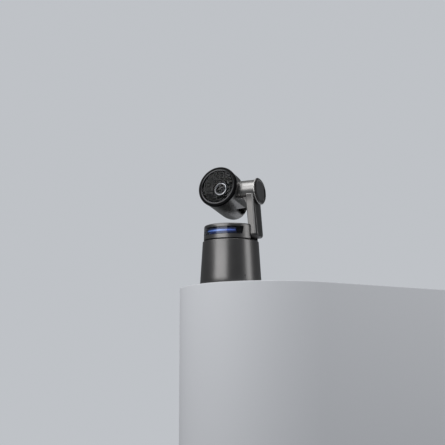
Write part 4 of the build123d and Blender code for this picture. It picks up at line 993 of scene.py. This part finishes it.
def stone(name, tone):
    finish = Finish(name)
    grain = finish.noise(1.2, detail=3)
    return finish.surface(
        Base_Color=finish.blend(grain, scaled(tone, 0.96), rgb(*tone)),
        Roughness=grain * 0.08 + 0.6,
    )


plinth = as_object(plinth_bar(), "plinth")
plinth.data.materials.append(stone("pale_plinth", (0.55, 0.56, 0.58)))
plinth.data.shade_smooth()
plinth.data.set_sharp_from_angle(angle=radians(30))

# %% World
BACKDROP = rgb(0.52, 0.54, 0.57)
ROOM = rgb(0.40, 0.41, 0.43)
DIM = rgb(0.11, 0.115, 0.12)
world = bpy.data.worlds.new("studio")
bpy.context.scene.world = world
world.use_nodes = True
sky = world.node_tree
sky.nodes.clear()
path = sky.nodes.new("ShaderNodeLightPath")


def choose(ray, otherwise, tone):
    """One tone for a kind of ray, another for every other ray."""
    pick = sky.nodes.new("ShaderNodeMix")
    pick.data_type = "RGBA"
    sky.links.new(path.outputs[ray], pick.inputs[0])
    if isinstance(otherwise, tuple):
        pick.inputs[6].default_value = otherwise
    else:
        sky.links.new(otherwise, pick.inputs[6])
    pick.inputs[7].default_value = tone
    return pick.outputs[2]


mirrored = choose("Is Glossy Ray", ROOM, DIM)
through = choose("Is Transmission Ray", mirrored, BACKDROP)
backdrop = sky.nodes.new("ShaderNodeBackground")
sky.links.new(choose("Is Camera Ray", through, BACKDROP), backdrop.inputs["Color"])
sky_out = sky.nodes.new("ShaderNodeOutputWorld")
sky.links.new(backdrop.outputs[0], sky_out.inputs["Surface"])


# %% Softboxes
LAMP_TARGET, LAMP_DISTANCE = Vector((0, 0, mm(95))), 0.85


def softbox(name, bearing, rise, wide, tall, radiance, roll=0.0):
    """Lamp facing the product, at a bearing right of the camera and a rise, both in degrees."""
    level = -away * cos(radians(bearing)) + right * sin(radians(bearing))
    towards = level * cos(radians(rise)) + up * sin(radians(rise))
    data = bpy.data.lights.new(name, "AREA")
    data.shape, data.size, data.size_y = "RECTANGLE", wide, tall
    data.energy = radiance * pi * wide * tall
    lamp = bpy.data.objects.new(name, data)
    spot = Matrix.Translation(LAMP_TARGET + towards * LAMP_DISTANCE)
    aim = (-towards).to_track_quat("-Z", "Y").to_matrix().to_4x4()
    lamp.matrix_world = spot @ aim @ Matrix.Rotation(radians(roll), 4, "Z")
    bpy.context.scene.collection.objects.link(lamp)


softbox("high_left", -62, 50, 0.90, 0.62, 2.6, roll=36)
softbox("low_left", -40, 10, 0.74, 0.38, 2.5)
softbox("right", 72, 12, 0.32, 0.62, 2.2)
softbox("overhead", 110, 74, 0.70, 0.50, 2.0)
